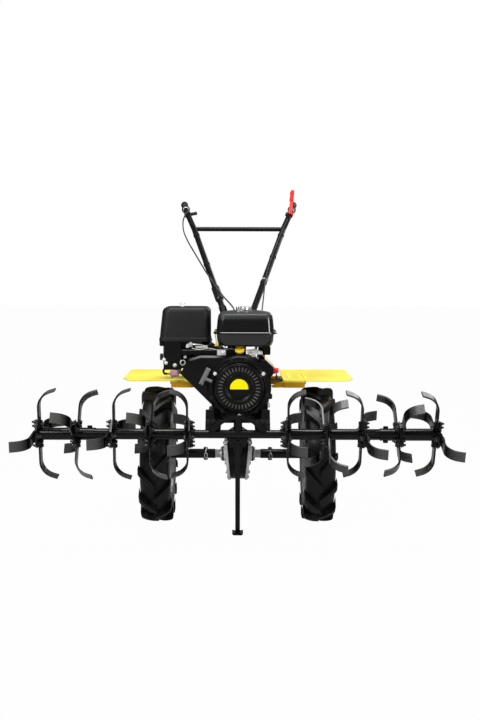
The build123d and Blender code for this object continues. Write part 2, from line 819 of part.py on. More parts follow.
def fan_shroud():
    """Pressed housing: a drum round the fan and a duct to the cylinder, open to the crankcase."""
    drum, duct = shroud_front - shroud_rear, shroud_front - shroud_rear - 12
    with BuildPart() as shroud:
        extrude(duct_section(), amount=duct)
        chamfer(shroud.faces().sort_by(Axis.Y)[0].edges(), 8)
        with BuildSketch(front_plane(shroud_rear)):
            with Locations(CRANK):
                Circle(shroud_radius)
        extrude(amount=drum)
        chamfer(shroud.faces().sort_by(Axis.Y)[0].edges(), 8)
        extrude(duct_section(shroud_wall), amount=duct - 9, mode=Mode.SUBTRACT)
        with BuildSketch(front_plane(shroud_rear)):
            with Locations(CRANK):
                Circle(shroud_radius - shroud_wall)
        extrude(amount=drum - 9, mode=Mode.SUBTRACT)
        with BuildSketch(front_plane(shroud_rear)):
            with Locations((crank_offset, engine_base_height - 98)):
                Rectangle(400, 200)
        extrude(amount=drum, mode=Mode.SUBTRACT)
    save(shroud.part, "fan_shroud")


def recoil_cover():
    """Dished starter cover with a ring of radial air slots round a sunken centre."""
    wall, face, rim = 3, shroud_front + recoil_depth, shroud_front + seat_gap
    slot_inner, slot_outer = 64, 81
    section = Plane(origin=(crank_offset, axle_y, crank_height), x_dir=(0, -1, 0), z_dir=(-1, 0, 0))
    with BuildPart() as cover:
        with BuildSketch(section):
            with BuildLine():
                Polyline(
                    (rim, recoil_radius), (face - 6, recoil_radius - 5), (face, recoil_radius - 12),
                    (face, slot_inner - 12), (face - 6, slot_inner - 20), (face - 6, 0), (face - 6 - wall, 0),
                    (face - 6 - wall, slot_inner - 20), (face - wall, slot_inner - 12),
                    (face - wall, recoil_radius - 16), (rim, recoil_radius - 10), close=True,
                )
            make_face()
        revolve(axis=CRANK_AXIS)
        with BuildSketch(front_plane(face - wall - 1)):
            with Locations(CRANK):
                with PolarLocations((slot_inner + slot_outer) / 2, recoil_slots):
                    Rectangle(slot_outer - slot_inner, 4.6)
        extrude(amount=wall + 2, mode=Mode.SUBTRACT)
    save(cover.part, "recoil_cover")


def recoil_cap():
    """Round centre badge, left plain."""
    with BuildPart() as cap:
        with BuildSketch(front_plane(shroud_front + recoil_depth - 6 + seat_gap)):
            with Locations(CRANK):
                Circle(35)
        extrude(amount=4)
    save(cap.part, "recoil_cap")


def starter_grip():
    """T-shaped pull grip parked beside the starter cover."""
    centre, lean, stem = (crank_offset - 132, crank_height + 44), -26.5, 34
    with BuildPart() as grip:
        with BuildSketch(front_plane(shroud_front + seat_gap)):
            with Locations(Location((*centre, 0), (0, 0, lean))):
                Rectangle(18, 70)
                with Locations((stem / 2, -6)):
                    Rectangle(stem, 12)
        extrude(amount=18)
        chamfer(grip.faces().sort_by(Axis.Y)[0].edges(), 4)
    save(grip.part, "starter_grip")


def fuel_tank():
    """Pressed tank in two halves with a seam flange, crowned on top, tapered below."""
    seam = tank_base + tank_seam
    middle = (tank_offset, tank_length / 2 - shroud_front)
    corner = 30
    crown_radius = 340
    crown = Plane(
        origin=(tank_offset, ahead(-middle[1]), tank_base + tank_height - crown_radius),
        x_dir=(1, 0, 0), z_dir=(0, 1, 0),
    )
    with BuildPart() as tank:
        with BuildSketch(level_plane(seam)):
            with Locations(middle):
                RectangleRounded(tank_width, tank_length, corner)
        extrude(amount=tank_height - tank_seam, taper=4)
        with BuildSketch(crown):
            Circle(crown_radius)
        extrude(amount=tank_length, both=True, mode=Mode.INTERSECT)
        with BuildSketch(level_plane(seam)):
            with Locations(middle):
                RectangleRounded(tank_width, tank_length, corner)
        extrude(amount=-tank_seam, taper=14)
        with BuildSketch(level_plane(seam - 4)):
            with Locations(middle):
                RectangleRounded(tank_width + 24, tank_length + 24, corner + 6)
        extrude(amount=8)
    save(tank.part, "fuel_tank")


def fuel_cap():
    """Screw cap with eight finger grooves."""
    with BuildPart() as cap:
        with BuildSketch(level_plane(tank_base + tank_height + seat_gap)):
            with Locations((tank_offset - 5, tank_length / 2 - shroud_front)):
                Circle(32)
                with PolarLocations(34, 8):
                    RegularPolygon(7, 6, mode=Mode.SUBTRACT)
        extrude(amount=12)
    save(cap.part, "fuel_cap")


def air_filter_cover():
    """Moulded filter box, drawn in towards its top, with a lip at its outer corner."""
    middle = (-filter_offset, filter_length / 2 - filter_front)
    with BuildPart() as cover:
        with BuildSketch(level_plane(filter_base)):
            with Locations(middle):
                RectangleRounded(filter_width, filter_length, 20)
        extrude(amount=filter_height, taper=3)
        chamfer(cover.faces().sort_by(Axis.Z)[-1].edges(), 10)
        with BuildSketch(level_plane(filter_base)):
            with Locations((-filter_offset - filter_width / 2 + 12, filter_length / 2 - filter_front)):
                Rectangle(18, filter_length - 44)
        extrude(amount=-21)
    save(cover.part, "air_filter_cover")


def air_filter_base():
    """Channel bracket below the filter box, with a row of holes near its foot."""
    top, low = filter_base - seat_gap, filter_base - 112
    left, right, gauge = -289, -222, 4
    with BuildPart() as base:
        with BuildSketch(level_plane(low)):
            with BuildLine():
                rear, front = -276, -322
                Polyline(
                    (left, rear), (left, front), (right, front), (right, rear), (right - gauge, rear),
                    (right - gauge, front + gauge), (left + gauge, front + gauge), (left + gauge, rear),
                    close=True,
                )
            make_face()
        extrude(amount=top - low)
        with BuildSketch(front_plane(300)):
            for x, rise in ((-276, 24), (-272, 39), (-243, 22)):
                with Locations((x, low + rise)):
                    RegularPolygon(5, 10)
        extrude(amount=60, mode=Mode.SUBTRACT)
        with BuildSketch(front_plane(262)):
            with Locations((right + 13, (low + 30 + top) / 2)):
                Rectangle(26, top - low - 30)
        extrude(amount=18)
    save(base.part, "air_filter_base")


def carburettor():
    """Carburettor with its float bowl on the cylinder's flank, and the elbow to the filter."""
    low, high = block_top + 2, tank_base - seat_gap
    body = (-72, (low + high) / 2)
    with BuildPart() as carb:
        with BuildSketch(front_plane(226)):
            with Locations(body):
                RectangleRounded(44, high - low, 8)
        extrude(amount=66)
        with BuildSketch(front_plane(240)):
            with Locations((body[0], body[1] - 4)):
                Rectangle(70, 24)
        extrude(amount=40)
        with BuildSketch(Plane(origin=(body[0] - 20, ahead(262), body[1] + 4), z_dir=(-1, 0, 0.32))):
            Circle(15)
        extrude(amount=100)
        with BuildSketch(level_plane(filter_base - seat_gap)):
            with Locations((-162, -262)):
                Rectangle(44, 40)
        extrude(amount=-20)
        with BuildSketch(level_plane(filter_base - seat_gap)):
            with Locations((-150, -262)):
                Rectangle(200, 100)
        extrude(amount=60, mode=Mode.SUBTRACT)
    save(carb.part, "carburettor")


def muffler():
    """Silencer box behind the head, with its exhaust elbow and a tail pipe."""
    front = 70
    port = head_middle - 75 - seat_gap
    with BuildPart() as box:
        with BuildSketch(front_plane(front - muffler_length)):
            with Locations((-205, crank_height + 105)):
                RectangleRounded(190, 120, 24)
        extrude(amount=muffler_length)
        with BuildSketch(front_plane(front)):
            with Locations((-165, crank_height + 80)):
                RegularPolygon(18, 12)
        extrude(amount=port - front)
        with BuildSketch(Plane(origin=(-290, ahead(front - 30), crank_height + 90), z_dir=(-1, 0, 0))):
            RegularPolygon(14, 12)
        extrude(amount=36)
    save(box.part, "muffler")


def engine_switch():
    """Round stop switch on the shroud's shoulder."""
    start = crank_offset + 132 + seat_gap
    with BuildPart() as switch:
        with BuildSketch(cross_plane(start, ahead(346), crank_height + 63)):
            RegularPolygon(13, 12)
        extrude(amount=6)
        with BuildSketch(cross_plane(start, ahead(346), crank_height + 63)):
            RegularPolygon(10, 12)
        extrude(amount=20)
    save(switch.part, "engine_switch")


# ================================================================ fenders
def fender_inner():
    """Level inner plates with a turned-down front skirt."""
    with BuildPart() as inner:
        for _, sign in SIDES:
            with BuildSketch(side_plane(sign * fender_inner_edge)):
                with BuildLine():
                    low = fender_height - fender_gauge
                    Polyline(
                        (fender_rear, low), (fender_rear, fender_height), (fender_front, fender_height),
                        (fender_front, fender_height - fender_skirt),
                        (fender_front - fender_gauge, fender_height - fender_skirt),
                        (fender_front - fender_gauge, low), close=True,
                    )
                make_face()
            extrude(amount=-sign * (fender_seam - fender_inner_edge))
    save(inner.part, "fender_inner")


def fender_outer():
    """Level outer plates with a cut front corner."""
    start = fender_seam + seat_gap
    with BuildPart() as outer:
        for _, sign in SIDES:
            with BuildSketch(level_plane(fender_height)):
                with BuildLine():
                    Polyline(
                        (sign * start, -fender_front), (sign * (fender_outer_edge - 38), -fender_front),
                        (sign * (fender_outer_edge - 6), -fender_front + fender_corner),
                        (sign * fender_outer_edge, -fender_rear), (sign * start, -fender_rear), close=True,
                    )
                make_face()
            extrude(amount=-fender_gauge)
    save(outer.part, "fender_outer")


def fender_brackets():
    """Two angle bars on each side, from the gearbox out under the seam of the plates."""
    top = fender_height - fender_gauge - seat_gap
    start = gearbox_width / 2 + seat_gap
    with BuildPart() as brackets:
        for _, sign in SIDES:
            for place in (-10, -110):
                with BuildSketch(side_plane(sign * start)):
                    with BuildLine():
                        Polyline(
                            (place - 15, top), (place + 15, top), (place + 15, top - 5),
                            (place - 10, top - 5), (place - 10, top - 26), (place - 15, top - 26),
                            close=True,
                        )
                    make_face()
                extrude(amount=-sign * (fender_seam + 13 - start))
    save(brackets.part, "fender_brackets")


# ================================================================ handlebar
def handle_column():
    """Upright from the gearbox's top, with a foot plate and a round head at the clamp."""
    with BuildPart() as column:
        with BuildSketch(side_plane(0)):
            with BuildLine():
                Polyline(
                    (-46, gearbox_top + seat_gap), (-118, gearbox_top + seat_gap),
                    (clamp_ahead - clamp_disc_diameter / 2, clamp_height),
                    (clamp_ahead + clamp_disc_diameter / 2, clamp_height), close=True,
                )
            make_face()
            with Locations((clamp_ahead, clamp_height)):
                Circle(clamp_disc_diameter / 2)
                Circle(clamp_bolt_diameter / 2 + seat_gap, mode=Mode.SUBTRACT)
        extrude(amount=column_gauge / 2, both=True)
        with BuildSketch(level_plane(gearbox_top + seat_gap)):
            with Locations((0, 82)):
                Rectangle(76, 96)
        extrude(amount=10)
    save(column.part, "handle_column")


def handle_clamp():
    """Toothed discs on both sides of the column's head."""
    with BuildPart() as discs:
        for _, sign in SIDES:
            start = sign * (column_gauge / 2 + seat_gap)
            with BuildSketch(cross_plane(start, ahead(clamp_ahead), clamp_height, sign)):
                RegularPolygon(clamp_disc_diameter / 2, 12)
                RegularPolygon(clamp_disc_diameter / 2, 12, rotation=15)
                Circle(clamp_bolt_diameter / 2 + seat_gap, mode=Mode.SUBTRACT)
            extrude(amount=clamp_disc_gauge - seat_gap)
    save(discs.part, "handle_clamp")


def clamp_bolt():
    """Bolt through the column, discs and tubes, with a star knob on the left."""
    half = handle_foot_offset + handle_tube_diameter / 2 + 8   # clear of the splayed tubes
    with BuildPart() as bolt:
        with BuildSketch(cross_plane(-half, ahead(clamp_ahead), clamp_height)):
            Circle(clamp_bolt_diameter / 2)
        extrude(amount=2 * half)
        with BuildSketch(cross_plane(-half, ahead(clamp_ahead), clamp_height, -1)):
            RegularPolygon(10, 6)
        extrude(amount=8)
        with BuildSketch(cross_plane(half, ahead(clamp_ahead), clamp_height)):
            Circle(13)
            with PolarLocations(18, 5):
                RegularPolygon(8, 6)
        extrude(amount=16)
    save(bolt.part, "clamp_bolt")


def handle_path(sign):
    """Centre line of one handle tube, from the clamp to the grip's end."""
    with BuildLine(mode=Mode.PRIVATE) as path:
        FilletPolyline(*[(sign * x, ahead(y), z) for x, y, z in HANDLE_CORNERS], radius=60)
    return path.line


def run_plane(sign, corner, distance):
    """Plane across a straight run of a handle tube, this far past the numbered corner."""
    start, end = [Vector(sign * x, ahead(y), z) for x, y, z in HANDLE_CORNERS[corner:corner + 2]]
    run = (end - start).normalized()
    return Plane(origin=start + run * distance, x_dir=(sign, 0, 0), z_dir=run)


def handle_tube(side, sign):
    """Bent tube from the clamp to the grip, drilled for the clamp bolt."""
    with BuildPart() as tube:
        path = handle_path(sign)
        with BuildSketch(Plane(origin=path @ 0, z_dir=path % 0)):
            Circle(handle_tube_diameter / 2)
        sweep(path=path)
        with BuildSketch(cross_plane(0, ahead(clamp_ahead), clamp_height)):
            Circle(clamp_bolt_diameter / 2 + seat_gap)
        extrude(amount=sign * 2 * handle_foot_offset, mode=Mode.SUBTRACT)
    save(tube.part, f"handle_tube_{side}")


def handle_crossbar():
    """Bar between the handle tubes, its ends coped to their round walls."""
    x, y, z = HANDLE_CORNERS[1]
    with BuildPart() as bar:
        with BuildSketch(Plane(origin=(0, ahead(y), z), z_dir=(1, 0, 0))):
            Circle(crossbar_diameter / 2)
        extrude(amount=x, both=True)
        for _, sign in SIDES:
            path = handle_path(sign)
            with BuildSketch(Plane(origin=path @ 0, z_dir=path % 0)):
                Circle(handle_tube_diameter / 2 + seat_gap)
            sweep(path=path, mode=Mode.SUBTRACT)
    middle = bar.part.solids().sort_by(lambda solid: abs(solid.center().X))[0]
    save(Part(middle.wrapped), "handle_crossbar")


def handle_grips():
    """Rubber sleeves with closed, flanged ends over the last stretch of both tubes."""
    with BuildPart() as grips:
        for _, sign in SIDES:
            path = handle_path(sign)
            end = Plane(origin=path @ 1, z_dir=path % 1)
            with BuildSketch(end.offset(-grip_length)):
                Circle(grip_diameter / 2)
            extrude(amount=grip_length + 5)
            with BuildSketch(end.offset(-grip_length)):
                Circle(handle_tube_diameter / 2 + seat_gap)
            extrude(amount=grip_length + seat_gap, mode=Mode.SUBTRACT)
    save(grips.part, "handle_grips")


def lever_clamp(plane):
    """Section of a ring that grips the handle tube at this plane."""
    with BuildSketch(plane, mode=Mode.PRIVATE) as ring:
        Circle(handle_tube_diameter / 2 + seat_gap + clamp_wall)
        Circle(handle_tube_diameter / 2 + seat_gap, mode=Mode.SUBTRACT)
    return ring.sketch


def clutch_lever():
    """Hand lever that stands up from its clamp on the left handle tube."""
    plane = run_plane(1, 1, lever_distance)
    top = plane.origin - plane.y_dir * clamp_outer
    lie, lean = axle_y - top.Y, radians(lever_lean)
    blade = Plane(
        origin=(plane.origin.X + 13, axle_y, top.Z - 1), x_dir=(0, -1, 0),
        z_dir=(-cos(lean), 0, sin(lean)),
    )
    with BuildPart() as lever:
        extrude(lever_clamp(plane), amount=18)
        with BuildSketch(blade):
            with BuildLine():
                Polyline(
                    (lie - 1, -0.5), (lie - 11, 8), (lie - 58, 62), (lie - 84, 112), (lie - 78, 124),
                    (lie - 64, 122), (lie - 36, 60), close=True,
                )
            make_face()
        extrude(amount=16)
    save(lever.part, "clutch_lever")


def throttle_lever():
    """Thumb lever on the inner side of the right handle tube."""
    plane = run_plane(-1, 1, lever_distance)
    with BuildPart() as lever:
        extrude(lever_clamp(plane), amount=16)
        with BuildSketch(plane):
            with Locations((-clamp_outer - 14, 0)):
                Rectangle(32, 12)
        extrude(amount=12)
    save(lever.part, "throttle_lever")


# ================================================================ control cables
# points of each route by hand: X, ahead of the axle, height
THROTTLE_ROUTE = (
    (-262, -905, 1362), (-281, -868, 1318), (-277, -815, 1262), (-250, -752, 1205), (-216, -682, 1152),
    (-184, -606, 1103), (-154, -532, 1056), (-122, -452, 1014), (-92, -356, 974), (-62, -258, 940),
    (-36, -160, 918), (-16, -64, 896), (-12, 12, 852), (-26, 56, 800), (-52, 116, 762), (-72, 176, 750),
    (-72, 225, 748),
)
CLUTCH_ROUTE = (
    (246, -880, 1322), (220, -815, 1272), (197, -742, 1221), (174, -664, 1166), (152, -588, 1112),
    (133, -510, 1056), (122, -432, 996), (114, -344, 940), (106, -254, 888), (102, -166, 838),
    (97, -96, 782), (88, -50, 722), (78, -22, 676), (74, -12, 629),
)


def cable(points, name):
    """Round cable along straight runs joined by tangent arcs as large as the runs allow."""
    corners = [Vector(x, ahead(y), z) for x, y, z in points]
    radii = []
    for before, corner, after in zip(corners, corners[1:], corners[2:]):
        turn = radians((corner - before).get_angle(after - corner))
        radii.append(0.45 * min((corner - before).length, (after - corner).length) / tan(turn / 2))
    print(name, "smallest bend radius", round(min(radii)))
    with BuildPart() as cord:
        with BuildLine() as path:
            FilletPolyline(*corners, radius=radii)
        with BuildSketch(Plane(origin=path.line @ 0, z_dir=path.line % 0)):
            RegularPolygon(cable_diameter / 2, 6)
        sweep()
    save(cord.part, name)


# ================================================================ all pieces
def main():
    for side, sign in SIDES:
        for make in (tyre, rim, wheel_hub, axle_shaft, rotor_tubes, tines, handle_tube):
            make(side, sign)
    for make in (
        axle_bearings, final_drive_case, drive_covers, gearbox, clutch_housing, hitch_bracket, gear_lever,
        frame_rails, bar_brackets, carrier_bar, bumper_arch, stand_bracket, stand_pin, front_stand,
        engine_block, cylinder_head, fan_shroud, recoil_cover, recoil_cap, starter_grip,
        fuel_tank, fuel_cap, air_filter_cover, air_filter_base, carburettor, muffler, engine_switch,
        fender_inner, fender_outer, fender_brackets, handle_column, handle_clamp, clamp_bolt,
        handle_crossbar, handle_grips, clutch_lever, throttle_lever,
    ):
        make()
    cable(THROTTLE_ROUTE, "throttle_cable")
    cable(CLUTCH_ROUTE, "clutch_cable")


main()
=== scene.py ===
"""Walk-behind two-wheel tractor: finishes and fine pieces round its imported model.

Lengths are in metres in the model's own frame: +Z up, the machine faces -Y, +X is its own left.
"Ahead" means forward of the wheel axle.
"""
import json
import math

import bmesh
import bpy
import numpy as np
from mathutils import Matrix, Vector

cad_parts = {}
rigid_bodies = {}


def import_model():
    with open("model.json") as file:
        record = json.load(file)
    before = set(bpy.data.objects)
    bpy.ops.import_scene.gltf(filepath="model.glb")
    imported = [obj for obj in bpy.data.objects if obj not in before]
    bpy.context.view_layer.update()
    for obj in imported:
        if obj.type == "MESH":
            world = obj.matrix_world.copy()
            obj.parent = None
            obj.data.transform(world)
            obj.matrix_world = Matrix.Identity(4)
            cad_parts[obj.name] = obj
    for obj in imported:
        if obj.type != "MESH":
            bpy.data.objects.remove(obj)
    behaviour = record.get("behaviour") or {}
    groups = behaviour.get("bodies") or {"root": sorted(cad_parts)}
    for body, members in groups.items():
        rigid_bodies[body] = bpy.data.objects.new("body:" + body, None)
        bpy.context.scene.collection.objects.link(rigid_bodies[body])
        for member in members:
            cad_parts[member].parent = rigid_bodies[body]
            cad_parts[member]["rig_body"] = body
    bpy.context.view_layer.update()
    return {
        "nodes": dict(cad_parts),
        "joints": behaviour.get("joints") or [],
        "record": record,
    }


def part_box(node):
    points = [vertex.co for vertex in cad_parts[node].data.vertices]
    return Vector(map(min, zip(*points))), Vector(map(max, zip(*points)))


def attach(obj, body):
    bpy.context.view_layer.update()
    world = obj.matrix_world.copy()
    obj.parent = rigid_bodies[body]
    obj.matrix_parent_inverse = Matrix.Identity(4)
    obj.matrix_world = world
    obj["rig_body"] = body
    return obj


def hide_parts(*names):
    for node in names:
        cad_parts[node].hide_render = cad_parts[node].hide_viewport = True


bl_info = {
    "name": "Two-wheel tractor finishes",
    "version": (1, 0, 0),
    "blender": (4, 5, 0),
    "location": "3D View > Sidebar > Tractor",
    "description": "Builds the tyres, fasteners, covers, finishes and stage of a two-wheel tractor",
    "category": "Object",
}

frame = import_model()
NODES = frame["nodes"]
JOINTS = {joint["name"]: Vector(joint["pos_m"]) for joint in frame["joints"]}
AXLE, ROTOR, PIVOT = JOINTS["wheel_left_spin"], JOINTS["rotor_left_spin"], JOINTS["stand_fold"]
SIDES = (("left", 1), ("right", -1))
PREFIX = "tractor"


def ahead(distance):
    """y of a point this far ahead of the axle."""
    return AXLE.y - distance


def settings():
    """The sizes and colours that a user may change."""
    return bpy.context.scene.tractor


def added(name, data):
    """A new object of the scene round a mesh, a lamp or a camera."""
    made = bpy.data.objects.new(name, data)
    bpy.context.scene.collection.objects.link(made)
    return made


# ==== shader expressions
class Signal:
    """One output of a shader tree. Arithmetic on it adds Math nodes."""

    def __init__(self, shader, socket):
        self.shader, self.socket = shader, socket

    def maths(self, operation, first, second=0.0):
        return self.shader.node("ShaderNodeMath", {"operation": operation}, {0: first, 1: second})

    def __add__(self, other):
        return self.maths("ADD", self, other)

    def __sub__(self, other):
        return self.maths("SUBTRACT", self, other)

    def __rsub__(self, other):
        return self.maths("SUBTRACT", other, self)

    def __mul__(self, other):
        return self.maths("MULTIPLY", self, other)

    def __gt__(self, other):
        return self.maths("GREATER_THAN", self, other)

    def __lt__(self, other):
        return self.maths("LESS_THAN", self, other)

    __radd__ = __add__
    __rmul__ = __mul__

    def between(self, low, high):
        """0 below low, 1 above high and smooth in between."""
        return self.shader.node("ShaderNodeMapRange", {"interpolation_type": "SMOOTHSTEP"}, {0: self, 1: low, 2: high})


class Shader:
    """A material under construction round one Principled shader."""

    def __init__(self, name, **constants):
        self.material = bpy.data.materials.new(name)
        self.material.use_nodes = True
        self.tree = self.material.node_tree
        self.principled = self.tree.nodes["Principled BSDF"]
        self.set(**constants)

    def set(self, **inputs):
        """Values or links of the Principled shader's sockets; underscores stand for spaces."""
        for key, value in inputs.items():
            self.plug(self.principled.inputs[key.replace("_", " ")], value)

    def done(self, **inputs):
        """Sets the last inputs and gives the finished material."""
        self.set(**inputs)
        return self.material

    def plug(self, socket, value):
        if isinstance(value, Signal):
            self.tree.links.new(value.socket, socket)
        else:
            socket.default_value = value

    def node(self, kind, options=(), inputs=(), output=0):
        """A node of this type: its options first, then values or links of its sockets."""
        made = self.tree.nodes.new(kind)
        for key, value in dict(options).items():
            setattr(made, key, value)
        for key, value in dict(inputs).items():
            self.plug(made.inputs[key], value)
        return Signal(self, made.outputs[output])

    def place(self, scale=(1, 1, 1)):
        """Object coordinates, stretched."""
        at = self.node("ShaderNodeTexCoord", output="Object")
        return self.node("ShaderNodeMapping", {}, {"Vector": at, "Scale": scale})

    def axis(self, name):
        """One object coordinate, X, Y or Z."""
        return self.node("ShaderNodeSeparateXYZ", {}, {0: self.place()}, name)

    def noise(self, scale, detail=3, roughness=0.5, stretch=(1, 1, 1)):
        """Noise with about this many cells to a metre."""
        return self.node("ShaderNodeTexNoise", {}, {
            "Vector": self.place(stretch), "Scale": scale, "Detail": detail, "Roughness": roughness})

    def mix(self, factor, first, second):
        """Blend of two colours."""
        return self.node("ShaderNodeMix", {"data_type": "RGBA"}, {0: factor, 6: first, 7: second}, 2)

    def bump(self, height, depth):
        """A normal roughened by a height of 0 to 1 that stands for this depth in metres."""
        return self.node("ShaderNodeBump", {}, {"Height": height, "Distance": depth})


def shade(colour, factor):
    """The colour made lighter or darker, with full alpha."""
    return (*(min(1.0, part * factor) for part in colour[:3]), 1.0)


FINISHES = {}


def finish(name):
    """The finished material of this name, made on first use."""
    if name not in FINISHES:
        FINISHES[name] = MAKERS[name]()
    return FINISHES[name]


def powder_coat(name, colour, roughness, grain=900, peel=0.00012, coat=0.0, cloudy=0.5):
    """Sprayed paint: fine orange peel, faint cloudiness and uneven gloss."""
    s = Shader(name, Coat_Weight=coat, Coat_Roughness=0.12, Specular_IOR_Level=0.3)
    cloud, fine = s.noise(9, 4), s.noise(grain, 2)
    tone = s.mix(cloud.between(0.35, 0.7), shade(colour, 1 - 0.4 * cloudy), shade(colour, 1 + 0.6 * cloudy))
    return s.done(Base_Color=tone, Roughness=roughness + (cloud - 0.5) * 0.16 + (fine - 0.5) * 0.03,
                  Normal=s.bump(fine, peel))


def fender_paint(name):
    """Glossy yellow, faintly cloudy; below its top the deep skirt of the inner plates turns to a darker ochre, which is
    painted shade.
    """
    s = Shader(name, Coat_Roughness=0.15, Specular_IOR_Level=0.18)
    cloud, fine = s.noise(5, 4), s.noise(700, 2)
    yellow = s.mix(cloud.between(0.3, 0.7), shade(settings().fender, 0.88), shade(settings().fender, 1.0))
    ochre = s.mix(cloud.between(0.3, 0.7), shade(settings().ochre, 0.85), shade(settings().ochre, 1.15))
    flange = 0.0075
    # Painted shade: the skirt below the fender's top gets the darker ochre instead of the yellow.
    top = s.axis("Z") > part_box("fender_inner")[1].z - flange
    return s.done(Base_Color=s.mix(top, ochre, yellow), Roughness=0.36 + (cloud - 0.5) * 0.14 + (fine - 0.5) * 0.06,
                  Normal=s.bump(fine, 0.00006))


def cast_paint(name, colour, roughness):
    """Paint over rough castings: pitted skin in two sizes of grain."""
    s = Shader(name, Specular_IOR_Level=0.3)
    cloud, grain, pit = s.noise(14, 3), s.noise(420, 4, 0.7), s.noise(1500, 2)
    tone = s.mix(cloud.between(0.3, 0.7), shade(colour, 0.75), shade(colour, 1.35))
    return s.done(Base_Color=tone, Roughness=roughness + (cloud - 0.5) * 0.16,
                  Normal=s.bump(grain * 0.7 + pit * 0.3, 0.00025))


def bare_metal(name, colour, roughness, stretch=(1, 1, 1), grain=260, metallic=0.6):
    """Metal with drawn or turned marks and slightly stained patches."""
    s = Shader(name, Metallic=metallic)
    marks, stain = s.noise(grain, 3, 0.6, stretch), s.noise(16, 4)
    tone = s.mix(stain.between(0.4, 0.75), shade(colour, 1.0), shade(colour, 0.72))
    return s.done(Base_Color=tone, Roughness=roughness + (marks - 0.5) * 0.25 + stain * 0.1,
                  Normal=s.bump(marks, 0.00008))


def speckled_chrome(name):
    """Dimpled bright plating: light and dark flecks of a few millimetres, painted into its colour as reflections, over
    dimples of the same pattern.
    """
    s = Shader(name, Metallic=0.8)
    dimple_and_glint, fine = s.noise(90, 2, 0.4), s.noise(900, 2)
    # The light and dark flecks in the colour are painted reflections.
    return s.done(Base_Color=s.mix(dimple_and_glint.between(0.4, 0.62), (0.62, 0.62, 0.64, 1), (0.95, 0.95, 0.97, 1)),
                  Roughness=0.14 + fine * 0.12, Normal=s.bump(dimple_and_glint * 0.8 + fine * 0.2, 0.0006))


def cover_metal(name):
    """Sand-cast alloy covers whose turned bearing bosses are painted black."""
    s = Shader(name)
    grain, stain = s.noise(520, 4, 0.7), s.noise(13, 4)
    out, face, radius = s.axis("X"), 0.0595, 0.0355
    height, along = s.axis("Z") - AXLE.z, s.axis("Y") - AXLE.y
    boss = ((out * out) > face ** 2) * ((height * height + along * along) < radius ** 2)
    metal = s.mix(stain.between(0.35, 0.75), (0.98, 0.98, 0.97, 1), (0.8, 0.8, 0.79, 1))
    return s.done(Base_Color=s.mix(boss, metal, shade(settings().black, 1.2)), Metallic=(1.0 - boss) * 0.2,
                  Roughness=0.34 + (stain - 0.5) * 0.14 + (grain - 0.5) * 0.14, Normal=s.bump(grain, 0.0003))


def cut_steel(name):
    """Black tines whose cut outer ends are lighter, by distance from the rotor's axis: partly wear, partly painted
    sheen where their flats catch the light.
    """
    s = Shader(name, Coat_Weight=0.1, Coat_Roughness=0.1, Specular_IOR_Level=0.35)
    height, along = s.axis("Z") - ROTOR.z, s.axis("Y") - ROTOR.y
    reach = s.node("ShaderNodeMath", {"operation": "SQRT"}, {0: height * height + along * along})
    cloud, fine, scratch = s.noise(12, 4), s.noise(900, 2), s.noise(46, 5, 0.65, (1, 5, 5))
    sound, tip = 0.138, 0.176
    wear_and_sheen = (reach + (cloud - 0.5) * 0.02).between(sound, tip) * (0.75 + scratch * 0.35)
    black = s.mix(cloud.between(0.35, 0.7), shade(settings().black, 0.8), shade(settings().black, 1.5))
    # The lighter grey of the ends is part wear, part painted sheen.
    return s.done(Base_Color=s.mix(wear_and_sheen * 0.7, black, (0.1, 0.099, 0.097, 1)),
                  Roughness=0.19 + (cloud - 0.5) * 0.12 + (fine - 0.5) * 0.06 + wear_and_sheen * 0.14,
                  Normal=s.bump(fine, 0.0001))


def rubber(name, colour, roughness, specular=0.4):
    """Moulded rubber: fine grain, faint bloom on the skin."""
    s = Shader(name, Specular_IOR_Level=specular)
    bloom, grain = s.noise(22, 5, 0.6), s.noise(1300, 2)
    tone = s.mix(bloom.between(0.4, 0.75), shade(colour, 0.8), shade(colour, 1.6))
    return s.done(Base_Color=tone, Roughness=roughness + (bloom - 0.5) * 0.2, Normal=s.bump(grain, 0.0002))


def plastic(name, colour, roughness, grain=1100, depth=0.00015, coat=0.0, specular=0.4):
    """Moulded plastic with a spark-eroded texture."""
    s = Shader(name, Coat_Weight=coat, Coat_Roughness=0.06, Specular_IOR_Level=specular)
    cloud, fine = s.noise(11, 3), s.noise(grain, 3, 0.65)
    return s.done(Base_Color=s.mix(cloud, shade(colour, 0.88), shade(colour, 1.14)),
                  Roughness=roughness + (fine - 0.5) * 0.14 + (cloud - 0.5) * 0.06, Normal=s.bump(fine, depth))


def tank_paint(name):
    """Two coats of one black: a textured matt crown, and gloss from the shoulder down. The crown's lighter colour is a
    painted reflection of the light above.
    """
    s = Shader(name, Coat_Roughness=0.08, Specular_IOR_Level=0.45)
    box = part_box("fuel_tank")
    crown = s.axis("Z").between(box[1].z - 0.04, box[1].z - 0.022)
    cloud, fine = s.noise(8, 3), s.noise(1000, 3, 0.65)
    # Painted reflection: the crown is lighter than the black below it.
    return s.done(Base_Color=s.mix(crown, shade(settings().black, 0.9), shade(settings().tank_top, 1.0)),
                  Roughness=0.16 + crown * 0.34 + (cloud - 0.5) * 0.08 + (fine - 0.5) * 0.06,
                  Coat_Weight=0.7 - crown * 0.6, Normal=s.bump(fine, 0.00008))


def centre_badge(name):
    """Bright yellow above a line just over the crankshaft, black below."""
    s = Shader(name, Coat_Weight=0.1, Coat_Roughness=0.08, Specular_IOR_Level=0.25)
    height = 0.031
    upper = s.axis("Z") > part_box("recoil_cap")[0].z + height
    cloud = s.noise(60, 3)
    return s.done(Base_Color=s.mix(upper, shade(settings().black, 1.0), shade(settings().badge, 1.0)),
                  Roughness=0.24 + cloud * 0.12, Normal=s.bump(s.noise(900, 2), 0.0001))


